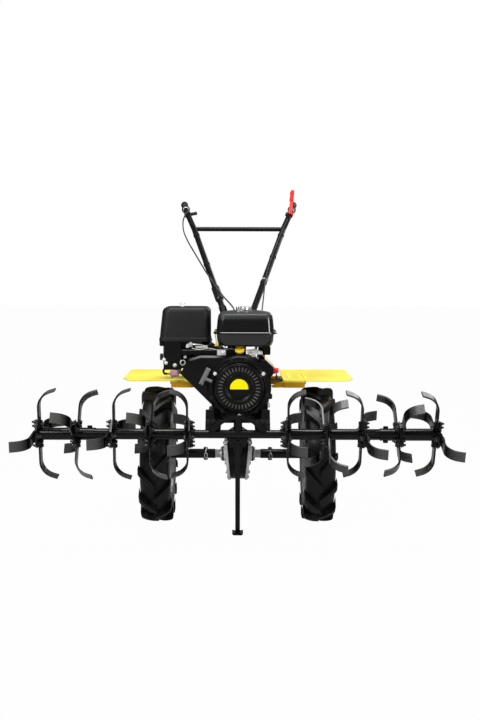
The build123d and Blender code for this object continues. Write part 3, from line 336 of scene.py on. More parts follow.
MAKERS = {
    "black_paint": lambda: powder_coat("black_powder_coat", settings().black, 0.3, 1400, 0.000004, cloudy=0.3),
    "rotor_paint": lambda: powder_coat("rotor_black", settings().black, 0.22, 800, 0.00005),
    "tine_steel": lambda: cut_steel("tine_black"),
    "gearbox_paint": lambda: cast_paint("casing_black", settings().black, 0.3),
    "engine_black": lambda: cast_paint("engine_black", settings().black, 0.26),
    "tank_gloss": lambda: tank_paint("tank_black"),
    "muffler_steel": lambda: powder_coat("muffler_heat_black", shade(settings().black, 1.8), 0.6, 1400, 0.0002),
    "guard_steel": lambda: bare_metal("guard_steel", (0.42, 0.41, 0.4), 0.42),
    "yellow_paint": lambda: fender_paint("fender_yellow"),
    # The brackets' ochre is the fender yellow darkened as painted shade.
    "ochre_paint": lambda: powder_coat("skirt_painted_shade", settings().ochre, 0.4, cloudy=0.3),
    "rim_paint": lambda: powder_coat("rim_silver", (0.5, 0.51, 0.52), 0.34, coat=0.3, cloudy=0.2),
    "bare_steel": lambda: bare_metal("turned_steel", (0.62, 0.62, 0.6), 0.26, (1, 9, 9)),
    "zinc": lambda: bare_metal("zinc_plate", (0.95, 0.95, 0.93), 0.22, metallic=0.35),
    "screen_steel": lambda: bare_metal("screen_steel", (0.34, 0.33, 0.3), 0.3, grain=140),
    "dull_bolt": lambda: bare_metal("phosphated_steel", (0.03, 0.029, 0.028), 0.3),
    "alloy": lambda: bare_metal("cast_alloy", (0.9, 0.9, 0.89), 0.32, grain=500, metallic=0.4),
    "carb_alloy": lambda: bare_metal("carburettor_alloy", (0.16, 0.155, 0.15), 0.42, grain=500),
    "cover_alloy": lambda: cover_metal("cover_alloy"),
    "cap_steel": lambda: speckled_chrome("cap_chrome"),
    "ceramic": lambda: plastic("ceramic_white", (0.62, 0.62, 0.6), 0.2, coat=0.5),
    "tyre": lambda: rubber("tyre_rubber", settings().tyre, 0.42, 0.3),
    "cable_rubber": lambda: rubber("hose_rubber", shade(settings().tyre, 1.5), 0.35),
    "cable_sheath": lambda: rubber("cable_sheath", (0.04, 0.04, 0.042), 0.35),
    "grip_rubber": lambda: rubber("grip_rubber", shade(settings().tyre, 0.9), 0.55),
    "dark_plastic": lambda: plastic("filter_box_plastic", settings().filter_box, 0.5, specular=0.25),
    "grey_plastic": lambda: plastic("grip_plastic", (0.16, 0.16, 0.165), 0.4),
    "yellow_plastic": lambda: plastic("yellow_plastic", (0.86, 0.6, 0.03), 0.35),
    "pink_plastic": lambda: plastic("strainer_plastic", (0.8, 0.42, 0.48), 0.25, coat=0.4),
    "green_plastic": lambda: plastic("green_plastic", (0.02, 0.16, 0.07), 0.4),
    "red_plastic": lambda: plastic("red_plastic", settings().red, 0.42, 700, 0.00003, specular=0.2),
    "badge": lambda: centre_badge("starter_badge"),
}
# The record's slot of each finish that isn't a slot's own.
SLOT_OF = {
    **dict.fromkeys(("zinc", "dull_bolt", "alloy", "screen_steel", "ceramic"), "bare_steel"),
    **dict.fromkeys(("pink_plastic", "green_plastic", "grip_rubber"), "dark_plastic"),
    "guard_steel": "muffler_steel", "yellow_plastic": "yellow_paint",
}


# ==== surfaces
# Points nearer than this are merged, CAD faces that meet flatter are one face, and edges sharper are rounded.
MERGE, FLAT_ANGLE, EDGE_ANGLE = 2e-6, math.radians(0.6), math.radians(34)


def unit(vector):
    """Vectors of length one, along the last axis."""
    vector = np.asarray(vector, float)
    return vector / np.linalg.norm(vector, axis=-1, keepdims=True)


def basis(origin, along, up=(0, 0, 1)):
    """4 by 4 placing matrix: local z runs along the given direction, local y towards up."""
    z = unit(along)
    spare = (0, 1, 0) if abs(z @ unit(up)) > 0.98 else up
    x = unit(np.cross(spare, z))
    placed = np.eye(4)
    placed[:3, 0], placed[:3, 1], placed[:3, 2], placed[:3, 3] = x, np.cross(z, x), z, origin
    return placed


def moved(shape, matrix):
    """The shape carried by a placing matrix."""
    points, faces = shape
    return points @ matrix[:3, :3].T + matrix[:3, 3], faces


def joined(shapes):
    """Several shapes as one list of points and faces."""
    points, faces, start = [], [], 0
    for vertices, polygons in shapes:
        points.append(vertices)
        faces += [[index + start for index in polygon] for polygon in polygons]
        start += len(vertices)
    return np.concatenate(points), faces


def skin(grid, loop_u=False, loop_v=False, caps=False):
    """Faces over a grid of points (rows u, columns v); loops close it and caps fill its end rows.

    Face (i, j) has the corners (i, j), (i+1, j), (i+1, j+1), (i, j+1), counted round where it loops.
    """
    rows, columns = grid.shape[:2]
    u = np.arange(rows if loop_u else rows - 1)[:, None]
    v = np.arange(columns if loop_v else columns - 1)[None, :]
    u2, v2 = (u + 1) % rows, (v + 1) % columns
    faces = np.stack([u * columns + v + 0 * u, u2 * columns + v, u2 * columns + v2, u * columns + v2], -1)
    faces = faces.reshape(-1, 4).tolist()
    if caps:
        faces.append(list(range(columns)))
        faces.append(list(range((rows - 1) * columns, rows * columns))[::-1])
    return grid.reshape(-1, 3), faces


def round_turn(count):
    """Angles evenly round a circle."""
    return np.arange(count) * 2 * np.pi / count


def ring(radius, sides):
    """Points (x, y) evenly round a circle: radius times (cos a, sin a)."""
    angle = round_turn(sides)
    return np.stack([radius * np.cos(angle), radius * np.sin(angle)], -1)


def lathe(profile, sides=32, hollow=False):
    """Profile points (radius, height) turned about local z: (r cos a, r sin a, h); hollow joins its two ends."""
    radius, height = np.asarray(profile, float).T
    angle = round_turn(sides)
    grid = np.stack([radius[:, None] * np.cos(angle), radius[:, None] * np.sin(angle), height[:, None] + 0 * angle], -1)
    return skin(grid, loop_u=hollow, loop_v=True, caps=not hollow)


def column(outline, heights):
    """An outline (x, y) stacked along local z, one (height, scale) for each row."""
    outline = np.asarray(outline, float)
    grid = np.stack([
        np.concatenate([outline * scale, np.full((len(outline), 1), height)], 1) for height, scale in heights])
    return skin(grid, loop_v=True, caps=True)


def sweep(path, outline):
    """An outline (side, up) carried along a path without twisting.

    side(s) = the last side less its part along the tangent, up = side x tangent;
    point = path(s) + a * side(s) + b * up(s).
    """
    path, outline = np.asarray(path, float), np.asarray(outline, float)
    tangent = unit(np.gradient(path, axis=0))
    side = [unit(np.cross(tangent[0], np.eye(3)[np.argmin(abs(tangent[0]))]))]
    for direction in tangent[1:]:
        side.append(unit(side[-1] - (side[-1] @ direction) * direction))
    side = np.array(side)
    up = np.cross(side, tangent)
    grid = path[:, None] + outline[None, :, :1] * side[:, None] + outline[None, :, 1:] * up[:, None]
    return skin(grid, loop_v=True, caps=True)


def piece(name, shape, material, body="chassis", bevel=0.0, crease=32, replaces=()):
    """A finished object from one shape or a list of them, riding on a body of the model."""
    points, faces = joined(shape) if isinstance(shape, list) else shape
    mesh = bpy.data.meshes.new(f"{PREFIX}_{name}")
    mesh.from_pydata(points.tolist(), [], faces)
    mesh.validate()
    settle(mesh, crease)
    dressed(name, mesh, body, material, bevel, replaces)


def settle(mesh, crease, flatten=False):
    """Merges doubles, turns faces outwards and shades smooth up to the crease angle in degrees."""
    work = bmesh.new()
    work.from_mesh(mesh)
    bmesh.ops.remove_doubles(work, verts=work.verts, dist=MERGE)
    bmesh.ops.dissolve_degenerate(work, dist=1e-6, edges=work.edges)
    if flatten:
        bmesh.ops.dissolve_limit(work, angle_limit=FLAT_ANGLE, verts=work.verts, edges=work.edges, delimit={"NORMAL"})
    else:
        bmesh.ops.recalc_face_normals(work, faces=work.faces)
    work.to_mesh(mesh)
    work.free()
    mesh.shade_smooth()
    mesh.set_sharp_from_angle(angle=math.radians(crease))


def dressed(name, mesh, body, material, bevel, replaces):
    """An object round a mesh with its material, its rounding and its place in the model."""
    made = added(f"{PREFIX}_{name}", mesh)
    mesh.materials.clear()
    mesh.materials.append(finish(material))
    if bevel:
        edge = made.modifiers.new("edge", "BEVEL")
        edge.width, edge.segments, edge.limit_method = bevel, 2, "ANGLE"
        edge.angle_limit, edge.harden_normals, edge.use_clamp_overlap = EDGE_ANGLE, True, True
    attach(made, body)
    if replaces:
        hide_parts(*replaces)


def refined(node, crease=30):
    """Stands for a CAD node: its own mesh, merged, with rounded edges and a full finish."""
    source = NODES[node]
    slot = next(part["material_slot"] for part in frame["record"]["subparts"] if part["node"] == node)
    mesh = source.data.copy()
    settle(mesh, crease, flatten=True)
    dressed(node, mesh, source["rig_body"], MATERIAL_OF.get(node, slot), BEVEL_OF.get(node, 0.0008), (node,))


# ==== finished CAD pieces
REMADE = {"tyre_left", "tyre_right", "air_filter_cover", "fuel_tank", "handle_grips"}
MATERIAL_OF = {"throttle_cable": "cable_sheath", "clutch_cable": "cable_sheath", "recoil_cap": "badge",
               "carburettor": "carb_alloy", "drive_covers": "cover_alloy"}
BEVEL_OF = {"throttle_cable": 0.0, "clutch_cable": 0.0, "recoil_cover": 0.0007, "fan_shroud": 0.0016,
            "bumper_arch": 0.003, "bar_brackets": 0.0016}


class TRACTOR_OT_structure(bpy.types.Operator):
    """Finishes every CAD piece that keeps its own form: merged mesh, rounded edges, full material"""

    bl_idname = "tractor.structure"
    bl_label = "Structure"

    def execute(self, context):
        for node in sorted(NODES):
            if node not in REMADE:
                refined(node)
        return {"FINISHED"}


# ==== tyres
def carcass(sign):
    """Tyre body without lugs: a closed section (offset from the wheel's middle, radius) turned about the axle.

    Point = (middle + sign * offset, axle y + r sin a, axle z + r cos a).
    """
    sizes = settings()
    half, crown, bead = sizes.tyre_width / 2, sizes.tyre_radius - sizes.lug_height, sizes.bead_radius
    outer = [(share, crown - drop) for share, drop in (
        (0.0, 0), (0.32, 0.001), (0.58, 0.004), (0.76, 0.01), (0.865, 0.021), (0.915, 0.037), (0.93, 0.052),
        (0.92, 0.068), (0.89, 0.084), (0.86, 0.096))]
    outer += [(share, bead + rise) for share, rise in (
        (0.86, 0.014), (0.79, 0.012), (0.745, 0.009), (0.735, 0.002), (0.62, 0.001))]
    inner = [(0.66, bead + 0.02), (0.78, crown - 0.06), (0.6, crown - 0.022), (0.0, crown - 0.016)]
    side = np.array(outer[1:] + inner[:-1])
    section = np.concatenate([[outer[0]], side, [inner[-1]], side[::-1] * (-1, 1)])
    steps = 120
    angle = round_turn(steps)
    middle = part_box("tyre_left")[0].x + half
    x = sign * middle + section[:, 0] * half
    grid = np.stack([
        np.broadcast_to(x, (steps, len(section))),
        AXLE.y + np.outer(np.sin(angle), section[:, 1]),
        AXLE.z + np.outer(np.cos(angle), section[:, 1])], -1)
    return skin(grid, loop_u=True, loop_v=True)


def lugs(sign):
    """Staggered chevron bars: a tapering block follows the tread from the middle out over the shoulder.

    Along the bar s runs 0 to 1: offset = half * o(s), angle = start + lean * s^0.85, top radius = the
    tyre's less drop(s), foot radius below the carcass; across the bar a trapezoid, narrower on top.
    """
    sizes = settings()
    half, top = sizes.tyre_width / 2, sizes.tyre_radius
    middle = sign * (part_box("tyre_left")[0].x + half)
    run = np.array([-0.06, 0.12, 0.3, 0.48, 0.64, 0.78, 0.89, 0.965, 1.0])
    drop = np.array([0.0, 0.0, 0.0, 0.001, 0.002, 0.004, 0.006, 0.012, 0.024])
    depth = sizes.lug_height + np.array([0.001, 0.002, 0.002, 0.003, 0.006, 0.01, 0.018, 0.028, 0.024])
    width = np.array([0.031, 0.03, 0.029, 0.029, 0.029, 0.03, 0.031, 0.031, 0.028])
    lean, count = sizes.lug_lean, sizes.lug_count
    shapes = []
    for number in range(2 * count):
        wing = 1 if number % 2 else -1
        start = number * np.pi / count
        angle = start + lean * np.clip(run, 0, 1) ** 0.85
        across = np.array([-0.62, -0.4, 0.4, 0.62])
        radius = np.stack([top - drop - depth, top - drop, top - drop, top - drop - depth], 1)
        turn = angle[:, None] + across[None] * width[:, None] / top
        grid = np.stack([
            np.broadcast_to((middle + wing * run * half)[:, None], radius.shape),
            AXLE.y + radius * np.sin(turn), AXLE.z + radius * np.cos(turn)], -1)
        shapes.append(skin(grid, loop_v=True, caps=True))
    return shapes


class TRACTOR_OT_tyres(bpy.types.Operator):
    """Builds both farm tyres with their chevron lugs"""

    bl_idname = "tractor.tyres"
    bl_label = "Tyres"

    def execute(self, context):
        for side, sign in SIDES:
            piece(f"tyre_{side}", carcass(sign), "tyre", f"wheel_{side}", crease=50, replaces=(f"tyre_{side}",))
            piece(f"tyre_lugs_{side}", lugs(sign), "tyre", f"wheel_{side}", bevel=0.0025, crease=40)
        return {"FINISHED"}


# ==== small shapes
# Points and vectors are in metres. Marks (offset, distance ahead, height) and the sizes of bolts, wires, lathed
# shapes, blocks and sheets are in millimetres.
LEFT, REAR, UP = np.eye(3)
FRONT = -REAR
MM = 0.001


def spot(x, distance, height):
    """A point by its offset from the middle, its distance ahead of the axle and its height."""
    return np.array([x, ahead(distance), height])


def mark(x, distance, height):
    """The point at a mark, in millimetres."""
    return spot(x * MM, distance * MM, height * MM)


def turned(profile, sides, origin, along, hollow=False):
    """A lathed shape whose axis starts at a point and runs along a direction."""
    return moved(lathe(np.array(profile) * MM, sides, hollow), basis(origin, along))


def bolt(origin, along, across, head, stud=0):
    """Hexagon head with a chamfered top on a round washer; a threaded end may stand out of it."""
    across, head, stud = across * MM, head * MM, stud * MM
    corner, washer = across / 2 / math.cos(math.pi / 6), across * 0.85
    parts = [
        column(ring(corner, 6), [(0.0012, 1.0), (head * 0.8, 1.0), (head, 0.86)]),
        lathe([(washer, 0.0), (washer, 0.0012), (washer * 0.95, 0.0016)], 20),
    ]
    if stud:
        thick = across * 0.29
        parts.append(lathe([(thick, head * 0.5), (thick, head + stud * 0.8), (thick * 0.75, head + stud)], 12))
    return moved(joined(parts), basis(origin, along))


def bolts(along, *rows):
    """Bolts that point one way, by rows of offset, distance ahead, height and then a bolt's sizes."""
    return [bolt(mark(*row[:3]), along, *row[3:]) for row in rows]


def hoop(origin, along, radius, gauge, around=28, sides=8, lumps=0.0, count=0):
    """Ring of round wire: ((R + r cos b) cos a, (R + r cos b) sin a, r sin b); lumps swell it as a weld."""
    a, b = round_turn(around)[:, None], round_turn(sides)[None]
    gauge = gauge * MM * (1 + lumps * np.sin(count * a))
    out = radius * MM + gauge * np.cos(b)
    grid = np.stack([out * np.cos(a), out * np.sin(a), gauge * np.sin(b) + 0 * a], -1)
    return moved(skin(grid, loop_u=True, loop_v=True), basis(origin, along))


def flow(points, per=8):
    """Smooth path through points: between two of them a cubic shaped by their outer neighbours."""
    p = np.asarray(points, float)
    p = np.concatenate([[2 * p[0] - p[1]], p, [2 * p[-1] - p[-2]]])
    t = np.linspace(0, 1, per, endpoint=False)[:, None]
    spans = [
        b + 0.5 * ((c - a) * t + (2 * a - 5 * b + 4 * c - d) * t ** 2 + (3 * b - a - 3 * c + d) * t ** 3)
        for a, b, c, d in zip(p[:-3], p[1:-2], p[2:-1], p[3:])
    ]
    return np.concatenate([*spans, p[-2:-1]])


def wire(points, radius, sides=8, per=8):
    """Round wire through points."""
    return sweep(flow(points, per), ring(radius * MM, sides))


def pipe(radius, *points):
    """Round wire through marks."""
    return wire([mark(*point) for point in points], radius)


def helix(start, end, radius, gauge, turns, per=14):
    """Coil spring between two points: axis point + R (cos a, sin a) across the axis."""
    share = np.linspace(0, 1, int(turns * per))
    turn = turns * 2 * np.pi * share
    radius = radius * MM
    path = np.stack([radius * np.cos(turn), radius * np.sin(turn), share * np.linalg.norm(end - start)], -1)
    path, _ = moved((path, ()), basis(start, end - start))
    return sweep(path, ring(gauge * MM, 6))


def rounded(width, depth, radius, steps=7):
    """Rectangle with round corners: each corner's centre + r (cos a, sin a)."""
    turn = np.arange(4)[:, None] * np.pi / 2 + np.linspace(0, np.pi / 2, steps)[None]
    sx, sy = np.array([[1, 1], [-1, 1], [-1, -1], [1, -1]]).T[:, :, None]
    x = sx * (width / 2 - radius) + radius * np.cos(turn)
    y = sy * (depth / 2 - radius) + radius * np.sin(turn)
    return np.stack([x.ravel(), y.ravel()], -1)


def moulded(rows, middle=(0.0, 0.0), steps=7):
    """Round-cornered rectangles stacked along z: rows of height, width, depth and corner radius."""
    grid = np.stack([
        np.concatenate([rounded(w, d, r, steps) + middle, np.full((4 * steps, 1), z)], 1) for z, w, d, r in rows])
    return skin(grid, loop_v=True, caps=True)


def block(origin, along, width, depth, *levels):
    """A moulded block on a point, by levels of height, how much both sides are shorter there, and corner radius."""
    rows = [(height, width - draw, depth - draw, corner) for height, draw, corner in ((0, 0, levels[0][2]), *levels)]
    return moved(moulded(np.array(rows) * MM), basis(origin, along))


def plate(corners, gauge, normal):
    """Flat plate: its corner points in order, thickened along a direction."""
    low = np.asarray(corners, float)
    return skin(np.stack([low, low + unit(normal) * gauge]), loop_v=True, caps=True)


def sheet(gauge, distance, *corners):
    """Flat plate across the machine at a distance ahead: its corners (x, z), thickened towards the rear."""
    return plate([mark(x, distance, z) for x, z in corners], gauge * MM, REAR)


# ==== wheel fittings
# Marks of the spring clip's wire, from the head of an axle pin.
CLIP = ((0, 0, 4), (4, 17.5, 4), (1, 25.5, -12), (-4, 25.5, -28), (1, 26.5, -41), (8, 25.5, -34), (6, 25.5, -22),
        (-1, 25.5, -10))


class TRACTOR_OT_wheel_fittings(bpy.types.Operator):
    """Adds the wheel bolts, nuts and valves, and the spring clips of the axle pins"""

    bl_idname = "tractor.wheel_fittings"
    bl_label = "Wheel fittings"

    def execute(self, context):
        half_disc, back, bolt_circle = 0.003, 0.0115, 0.049
        disc = (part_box("tyre_left")[0].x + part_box("tyre_left")[1].x) / 2 - half_disc
        pin, pin_head = 137, AXLE.z / MM + 24
        for side, sign in SIDES:
            body, out = f"wheel_{side}", LEFT * sign
            circle = [np.array([0, AXLE.y + bolt_circle * math.sin(t), AXLE.z + bolt_circle * math.cos(t)])
                      for t in round_turn(6)]
            piece(f"wheel_bolts_{side}", [bolt(c + out * (disc + half_disc), out, 17, 10, 6) for c in circle]
                  + [bolt(c + out * (disc - back), -out, 17, 9) for c in circle], "zinc", body)
            stem = spot(sign * (disc + 0.02), 0, AXLE.z + 0.125), (sign * 0.9, 0, -0.45)
            piece(f"valve_{side}", [
                turned([(6, 0), (6, 8), (4, 10), (4, 20)], 16, *stem),
                turned([(4.5, 20), (4.5, 30), (3.5, 32)], 12, *stem)], "cable_rubber", body)
            clip = [mark(sign * pin + x, distance, pin_head + z) for x, distance, z in CLIP]
            piece(f"axle_clip_{side}", wire(clip, 1.6, 8, 6), "zinc", body)
        return {"FINISHED"}


# ==== rotor fittings
# Offsets of the flanges in millimetres, then for each the turn of its first tine and how each tine bends.
FLANGES = (183, 334, 476, 612, 757)
TINES = {
    "left": ((14, (1, 1, 1, 1)), (40, (1, 1, -1, -1)), (17, (-1, 1, -1, 1)), (48, (1, -1, 1, -1)),
             (20, (-1, 1, -1, -1))),
    "right": ((12, (1, 1, 1, 1)), (61, (1, -1, 1, -1)), (5, (-1, 1, -1, -1)), (61, (1, -1, 1, -1)),
              (8, (-1, 1, -1, -1))),
}
INNER_TUBE, OUTER_TUBE, TUBE_STEP = 21, 23.5, 500
# Distances in metres: flange's face from its middle, the tines' bolts from the axis, their heads and nuts outwards.
FLANGE_FACE, BOLT_REACH, HEAD_FACE, NUT_FACE = 0.0045, (0.0305, 0.0465), 0.0113, 0.004


class TRACTOR_OT_rotor_fittings(bpy.types.Operator):
    """Adds the bolts and nuts of every tine and the weld beads of the flanges"""

    bl_idname = "tractor.rotor_fittings"
    bl_label = "Rotor fittings"

    def execute(self, context):
        for side, sign in SIDES:
            tine_bolts, welds = [], []
            for offset, (phase, curls) in zip(FLANGES, TINES[side]):
                tube = INNER_TUBE if offset < TUBE_STEP else OUTER_TUBE
                centre = np.array([sign * offset * MM, ROTOR.y, ROTOR.z])
                welds += [hoop(centre + LEFT * face, LEFT, tube + 0.8, 3, 36, 8, 0.22, 17)
                          for face in (-FLANGE_FACE, FLANGE_FACE)]
                for turn, curl in enumerate(curls):
                    angle = math.radians(phase + 90 * turn)
                    arm = np.array([0, -math.sin(angle), math.cos(angle)])
                    out = LEFT * sign * curl
                    for reach in BOLT_REACH:
                        at = centre + arm * reach
                        tine_bolts.append(bolt(at + out * HEAD_FACE, out, 13.8, 8.5))
                        tine_bolts.append(bolt(at - out * NUT_FACE, -out, 13.8, 10, 7))
            piece(f"tine_bolts_{side}", tine_bolts, "dull_bolt", f"rotor_{side}")
            piece(f"flange_welds_{side}", welds, "rotor_paint", f"rotor_{side}", crease=60)
        return {"FINISHED"}


# ==== engine covers
def filter_rows(low, height):
    """Box drawn in by 3 degrees towards its top, with a round upper edge and a raised rim at its foot."""
    edge, width, length, slope = 0.02, 0.199, 0.196, 0.0524

    def row(z, extra, corner):
        draw = extra - 2 * (z - low) * slope
        return z, width + draw, length + draw, corner

    rows = [row(low, 0.002, 0.026), row(low + 0.012, 0.002, 0.026), row(low + 0.0135, -0.001, 0.025),
            row(low + 0.04, 0.0, 0.028), row(low + height * 0.6, 0.0, 0.031)]
    for turn in np.linspace(0, np.pi / 2, 8):
        pull = edge * (1 - np.cos(turn))
        rows.append(row(low + height - edge + edge * np.sin(turn), -2 * pull, 0.031 - pull * 0.5))
    return rows


def tank_shapes():
    """Lower pan, crimped seam and crowned top, each a stack of round-cornered rectangles.

    The crown is z = top - a k^2 for rings of scale k, which meets the side in a round shoulder.
    """
    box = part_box("fuel_tank")
    middle = ((box[0].x + box[1].x) / 2, (box[0].y + box[1].y) / 2)
    low, top = box[0].z, box[1].z
    seam, width, length = low + 0.053, 0.222, 0.264
    rise, edge = 0.013, 0.013
    side = top - rise * 0.8 - edge

    def rows(table):
        return [(z, width + wider, length + longer, corner) for z, wider, longer, corner in table]

    shoulder = [(seam, 0.0), (seam + 0.02, 0.001), (side - 0.012, 0.0038), (side - 0.003, 0.0056)]
    shoulder += [(side + edge * math.sin(t), 0.006 + edge * (1 - math.cos(t))) for t in np.linspace(0.12, 1.35, 6)]
    upper = rows((z, -2 * pull, -2 * pull, 0.03 - pull * 0.4) for z, pull in shoulder)
    start = upper[-1]
    for k in (0.93, 0.84, 0.74, 0.62, 0.48, 0.32, 0.14):
        upper.append((top - (top - start[0]) * k * k, start[1] * k, start[2] * k, start[3] * k + 0.001))
    pan = rows((z, -cut, -cut, corner) for z, cut, corner in (
        (seam, 0, 0.03), (seam - 0.03, 0.006, 0.032), (low + 0.011, 0.012, 0.032), (low + 0.005, 0.017, 0.034),
        (low + 0.001, 0.028, 0.034), (low, 0.044, 0.03)))
    half = [(0.0022, -0.002, -0.002, 0.034), (0.0036, 0.02, 0.014, 0.04), (0.002, 0.0235, 0.0175, 0.042)]
    rim = rows([(seam - z, *sizes) for z, *sizes in half] + [(seam + z, *sizes) for z, *sizes in half[::-1]])
    return [moulded(shape, middle, 9) for shape in (upper, pan, rim)]


class TRACTOR_OT_engine_covers(bpy.types.Operator):
    """Builds the moulded filter box with its wing nut, and the pressed fuel tank"""

    bl_idname = "tractor.engine_covers"
    bl_label = "Engine covers"

    def execute(self, context):
        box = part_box("air_filter_cover")
        x, y = (box[0].x + box[1].x) / 2, (box[0].y + box[1].y) / 2
        height = settings().filter_height
        low, lean = box[1].z - height, 0.05
        lip = [(box[0].z + 0.0005, 0.014, 0.15, 0.006), (box[0].z + 0.004, 0.018, 0.156, 0.008),
               (low + 0.002, 0.018, 0.156, 0.008)]
        points, faces = moulded(filter_rows(low, height), (x, y), 9)
        points[:, 0] += 0.0015 + (points[:, 2] - low) * lean
        piece("air_filter_cover", [(points, faces), moulded(lip, (box[0].x + 0.0122, y))], "dark_plastic", crease=40,
              replaces=("air_filter_cover",))
        stud = np.array([x - 0.012, y, box[1].z])
        nut = [turned([(9, 0), (9, 1.2), (5.5, 1.6), (5, 9), (3, 10), (3, 16)], 16, stud, UP)]
        for side in (-1, 1):
            wing = ((0.003, 0.004), (0.013, 0.012), (0.009, 0.015), (0.003, 0.01))
            nut.append(plate([stud + (side * across, -0.0012, up) for across, up in wing], 0.0024, REAR))
        piece("filter_wing_nut", nut, "zinc")
        piece("fuel_tank", tank_shapes(), "tank_gloss", crease=38, replaces=("fuel_tank",))
        return {"FINISHED"}


# ==== engine fittings
CRANK_X, CRANK_Z, SHROUD_FACE = 5, 610, 388


def round_crank(degrees, radius):
    """A point of the shroud's face on a circle round the crankshaft."""
    turn = math.radians(degrees)
    return mark(CRANK_X + radius * math.cos(turn), SHROUD_FACE, CRANK_Z + radius * math.sin(turn))


def fasteners():
    """Recoil, shroud, foot and column bolts, and the recoil cover's rims and screen."""
    corners = [round_crank(degrees, 107) for degrees in (30, 150, 270)]
    ears = [turned([(13, -1), (13, 3), (12, 3.6)], 20, at, FRONT) for at in corners]
    bright = [bolt(at + FRONT * 0.0036, FRONT, 8.5, 5) for at in corners]
    bright += bolts(UP, *((x, distance, 508, 16, 10, 4) for x in (-88, 90) for distance in (275, 105)))
    dark = [bolt(round_crank(degrees, 112), FRONT, 9, 5) for degrees in (75, 105, 200, 235, 305, 345)]
    dark += bolts(UP, *((x, distance, 640.5, 13, 8) for x in (-30, 30) for distance in (-60, -108)))
    screen = turned([(58, 0), (84, 0), (84, 1), (58, 1)], 72, mark(CRANK_X, 404.5, CRANK_Z), FRONT, hollow=True)
    beads = [hoop(mark(CRANK_X, distance, CRANK_Z), FRONT, radius, gauge, 96, 10) for radius, gauge, distance in (
        (92.5, 2.2, 406.5), (52.5, 1.8, 408.5), (101.5, 2.4, 390.5))]
    piece("recoil_screen", screen, "screen_steel")
    piece("recoil_beads", beads, "engine_black", crease=60)
    piece("recoil_ears", ears, "engine_black")
    piece("bright_engine_bolts", bright, "zinc")
    piece("dark_engine_bolts", dark, "dull_bolt")


def governor():
    """Rods, levers, springs and castings between the tank and the shroud."""
    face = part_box("air_filter_base")[0].y
    rods = [
        pipe(2.2, (-192, 318, 768), (-160, 322, 772), (-125, 318, 766), (-88, 316, 770)),
        pipe(2, (-180, 324, 757), (-150, 326, 752), (-112, 324, 756), (-70, 320, 748)),
        pipe(1.8, (-60, 330, 748), (-30, 338, 757), (10, 335, 750), (52, 330, 752)),
        helix(mark(-165, 330, 762), mark(-118, 328, 760), 4.2, 0.9, 11),
        helix(mark(44, 346, 748), mark(82, 344, 740), 4.5, 1, 9),
        hoop(mark(-215, 326, 701), (0.25, -1, 0), 9.5, 2.2),
        hoop(mark(-48, 372, 770), FRONT, 7, 2),
        *bolts(FRONT, (-196, 323, 765, 8.5, 6, 5), (-184, 323, 774, 8, 5), (60, 352, 735, 11, 6, 4),
               (-60, 352, 742, 10, 6)),
        *(bolt((x, face, z), FRONT, across, 6, 3) for x, z, across in (
            (-0.289, 0.712, 8.5), (-0.281, 0.699, 8.5), (-0.246, 0.69, 9), (-0.206, 0.722, 7))),
    ]
    levers = [
        sheet(2.5, 342, (34, 746), (60, 757), (94, 747), (97, 733), (66, 741), (40, 735)),
        sheet(2.2, 318, (-203, 757), (-200, 774), (-180, 778), (-176, 764)),
        block(mark(-64, 326, 740), FRONT, 34, 26, (20, 0, 5), (24, 6, 4)),
        block(mark(84, 348, 741), FRONT, 20, 12, (10, 2, 3)),
    ]
    housings = [
        block(mark(-152, 318, 741), FRONT, 140, 20, (12, 0, 4), (14, 4, 3)),
        block(mark(-20, 300, 748), FRONT, 52, 40, (20, 0, 6), (24, 6, 5)),
        turned([(16, 0), (17, 4), (17, 18), (12, 22)], 24, mark(-105, 300, 762), FRONT),
        block(mark(112, 300, 748), FRONT, 30, 34, (16, 0, 4)),
    ]
    yellow = [
        turned([(16.5, 0), (18.5, 3), (18.5, 8), (16.5, 10.5), (10, 11.2), (9, 8.5)], 28, mark(7, 352, 748),
               (0, -0.55, 0.84)),
        block(mark(-84, 322, 770), (0, -1, 0.3), 16, 12, (6, 2, 3)),
        pipe(2.2, (-84, 320, 778), (-88, 300, 800), (-92, 270, 822)),
    ]
    piece("governor_rods", rods, "zinc")
    piece("governor_levers", levers, "alloy", bevel=0.0005)
    piece("governor_housings", housings, "engine_black", bevel=0.0006)
    piece("filler_caps", yellow, "yellow_plastic")


def fuel_line():
    """Fuel strainer under the air filter, with a hose at each end."""
    strainer = turned([(4, -12), (4, 0), (13, 2), (14.5, 6), (14.5, 32), (13, 36), (4, 38), (4, 50)], 28,
                       mark(-278, 150, 640), (1, 0, 0.05))
    hoses = [
        pipe(4.6, (-227, 150, 642.5), (-214, 156, 652), (-214, 180, 690), (-210, 240, 728)),
        pipe(4.6, (-291, 150, 639.5), (-300, 156, 642), (-302, 176, 656), (-290, 200, 672)),
    ]
    piece("fuel_strainer", strainer, "pink_plastic")
    piece("fuel_hoses", hoses, "cable_rubber")


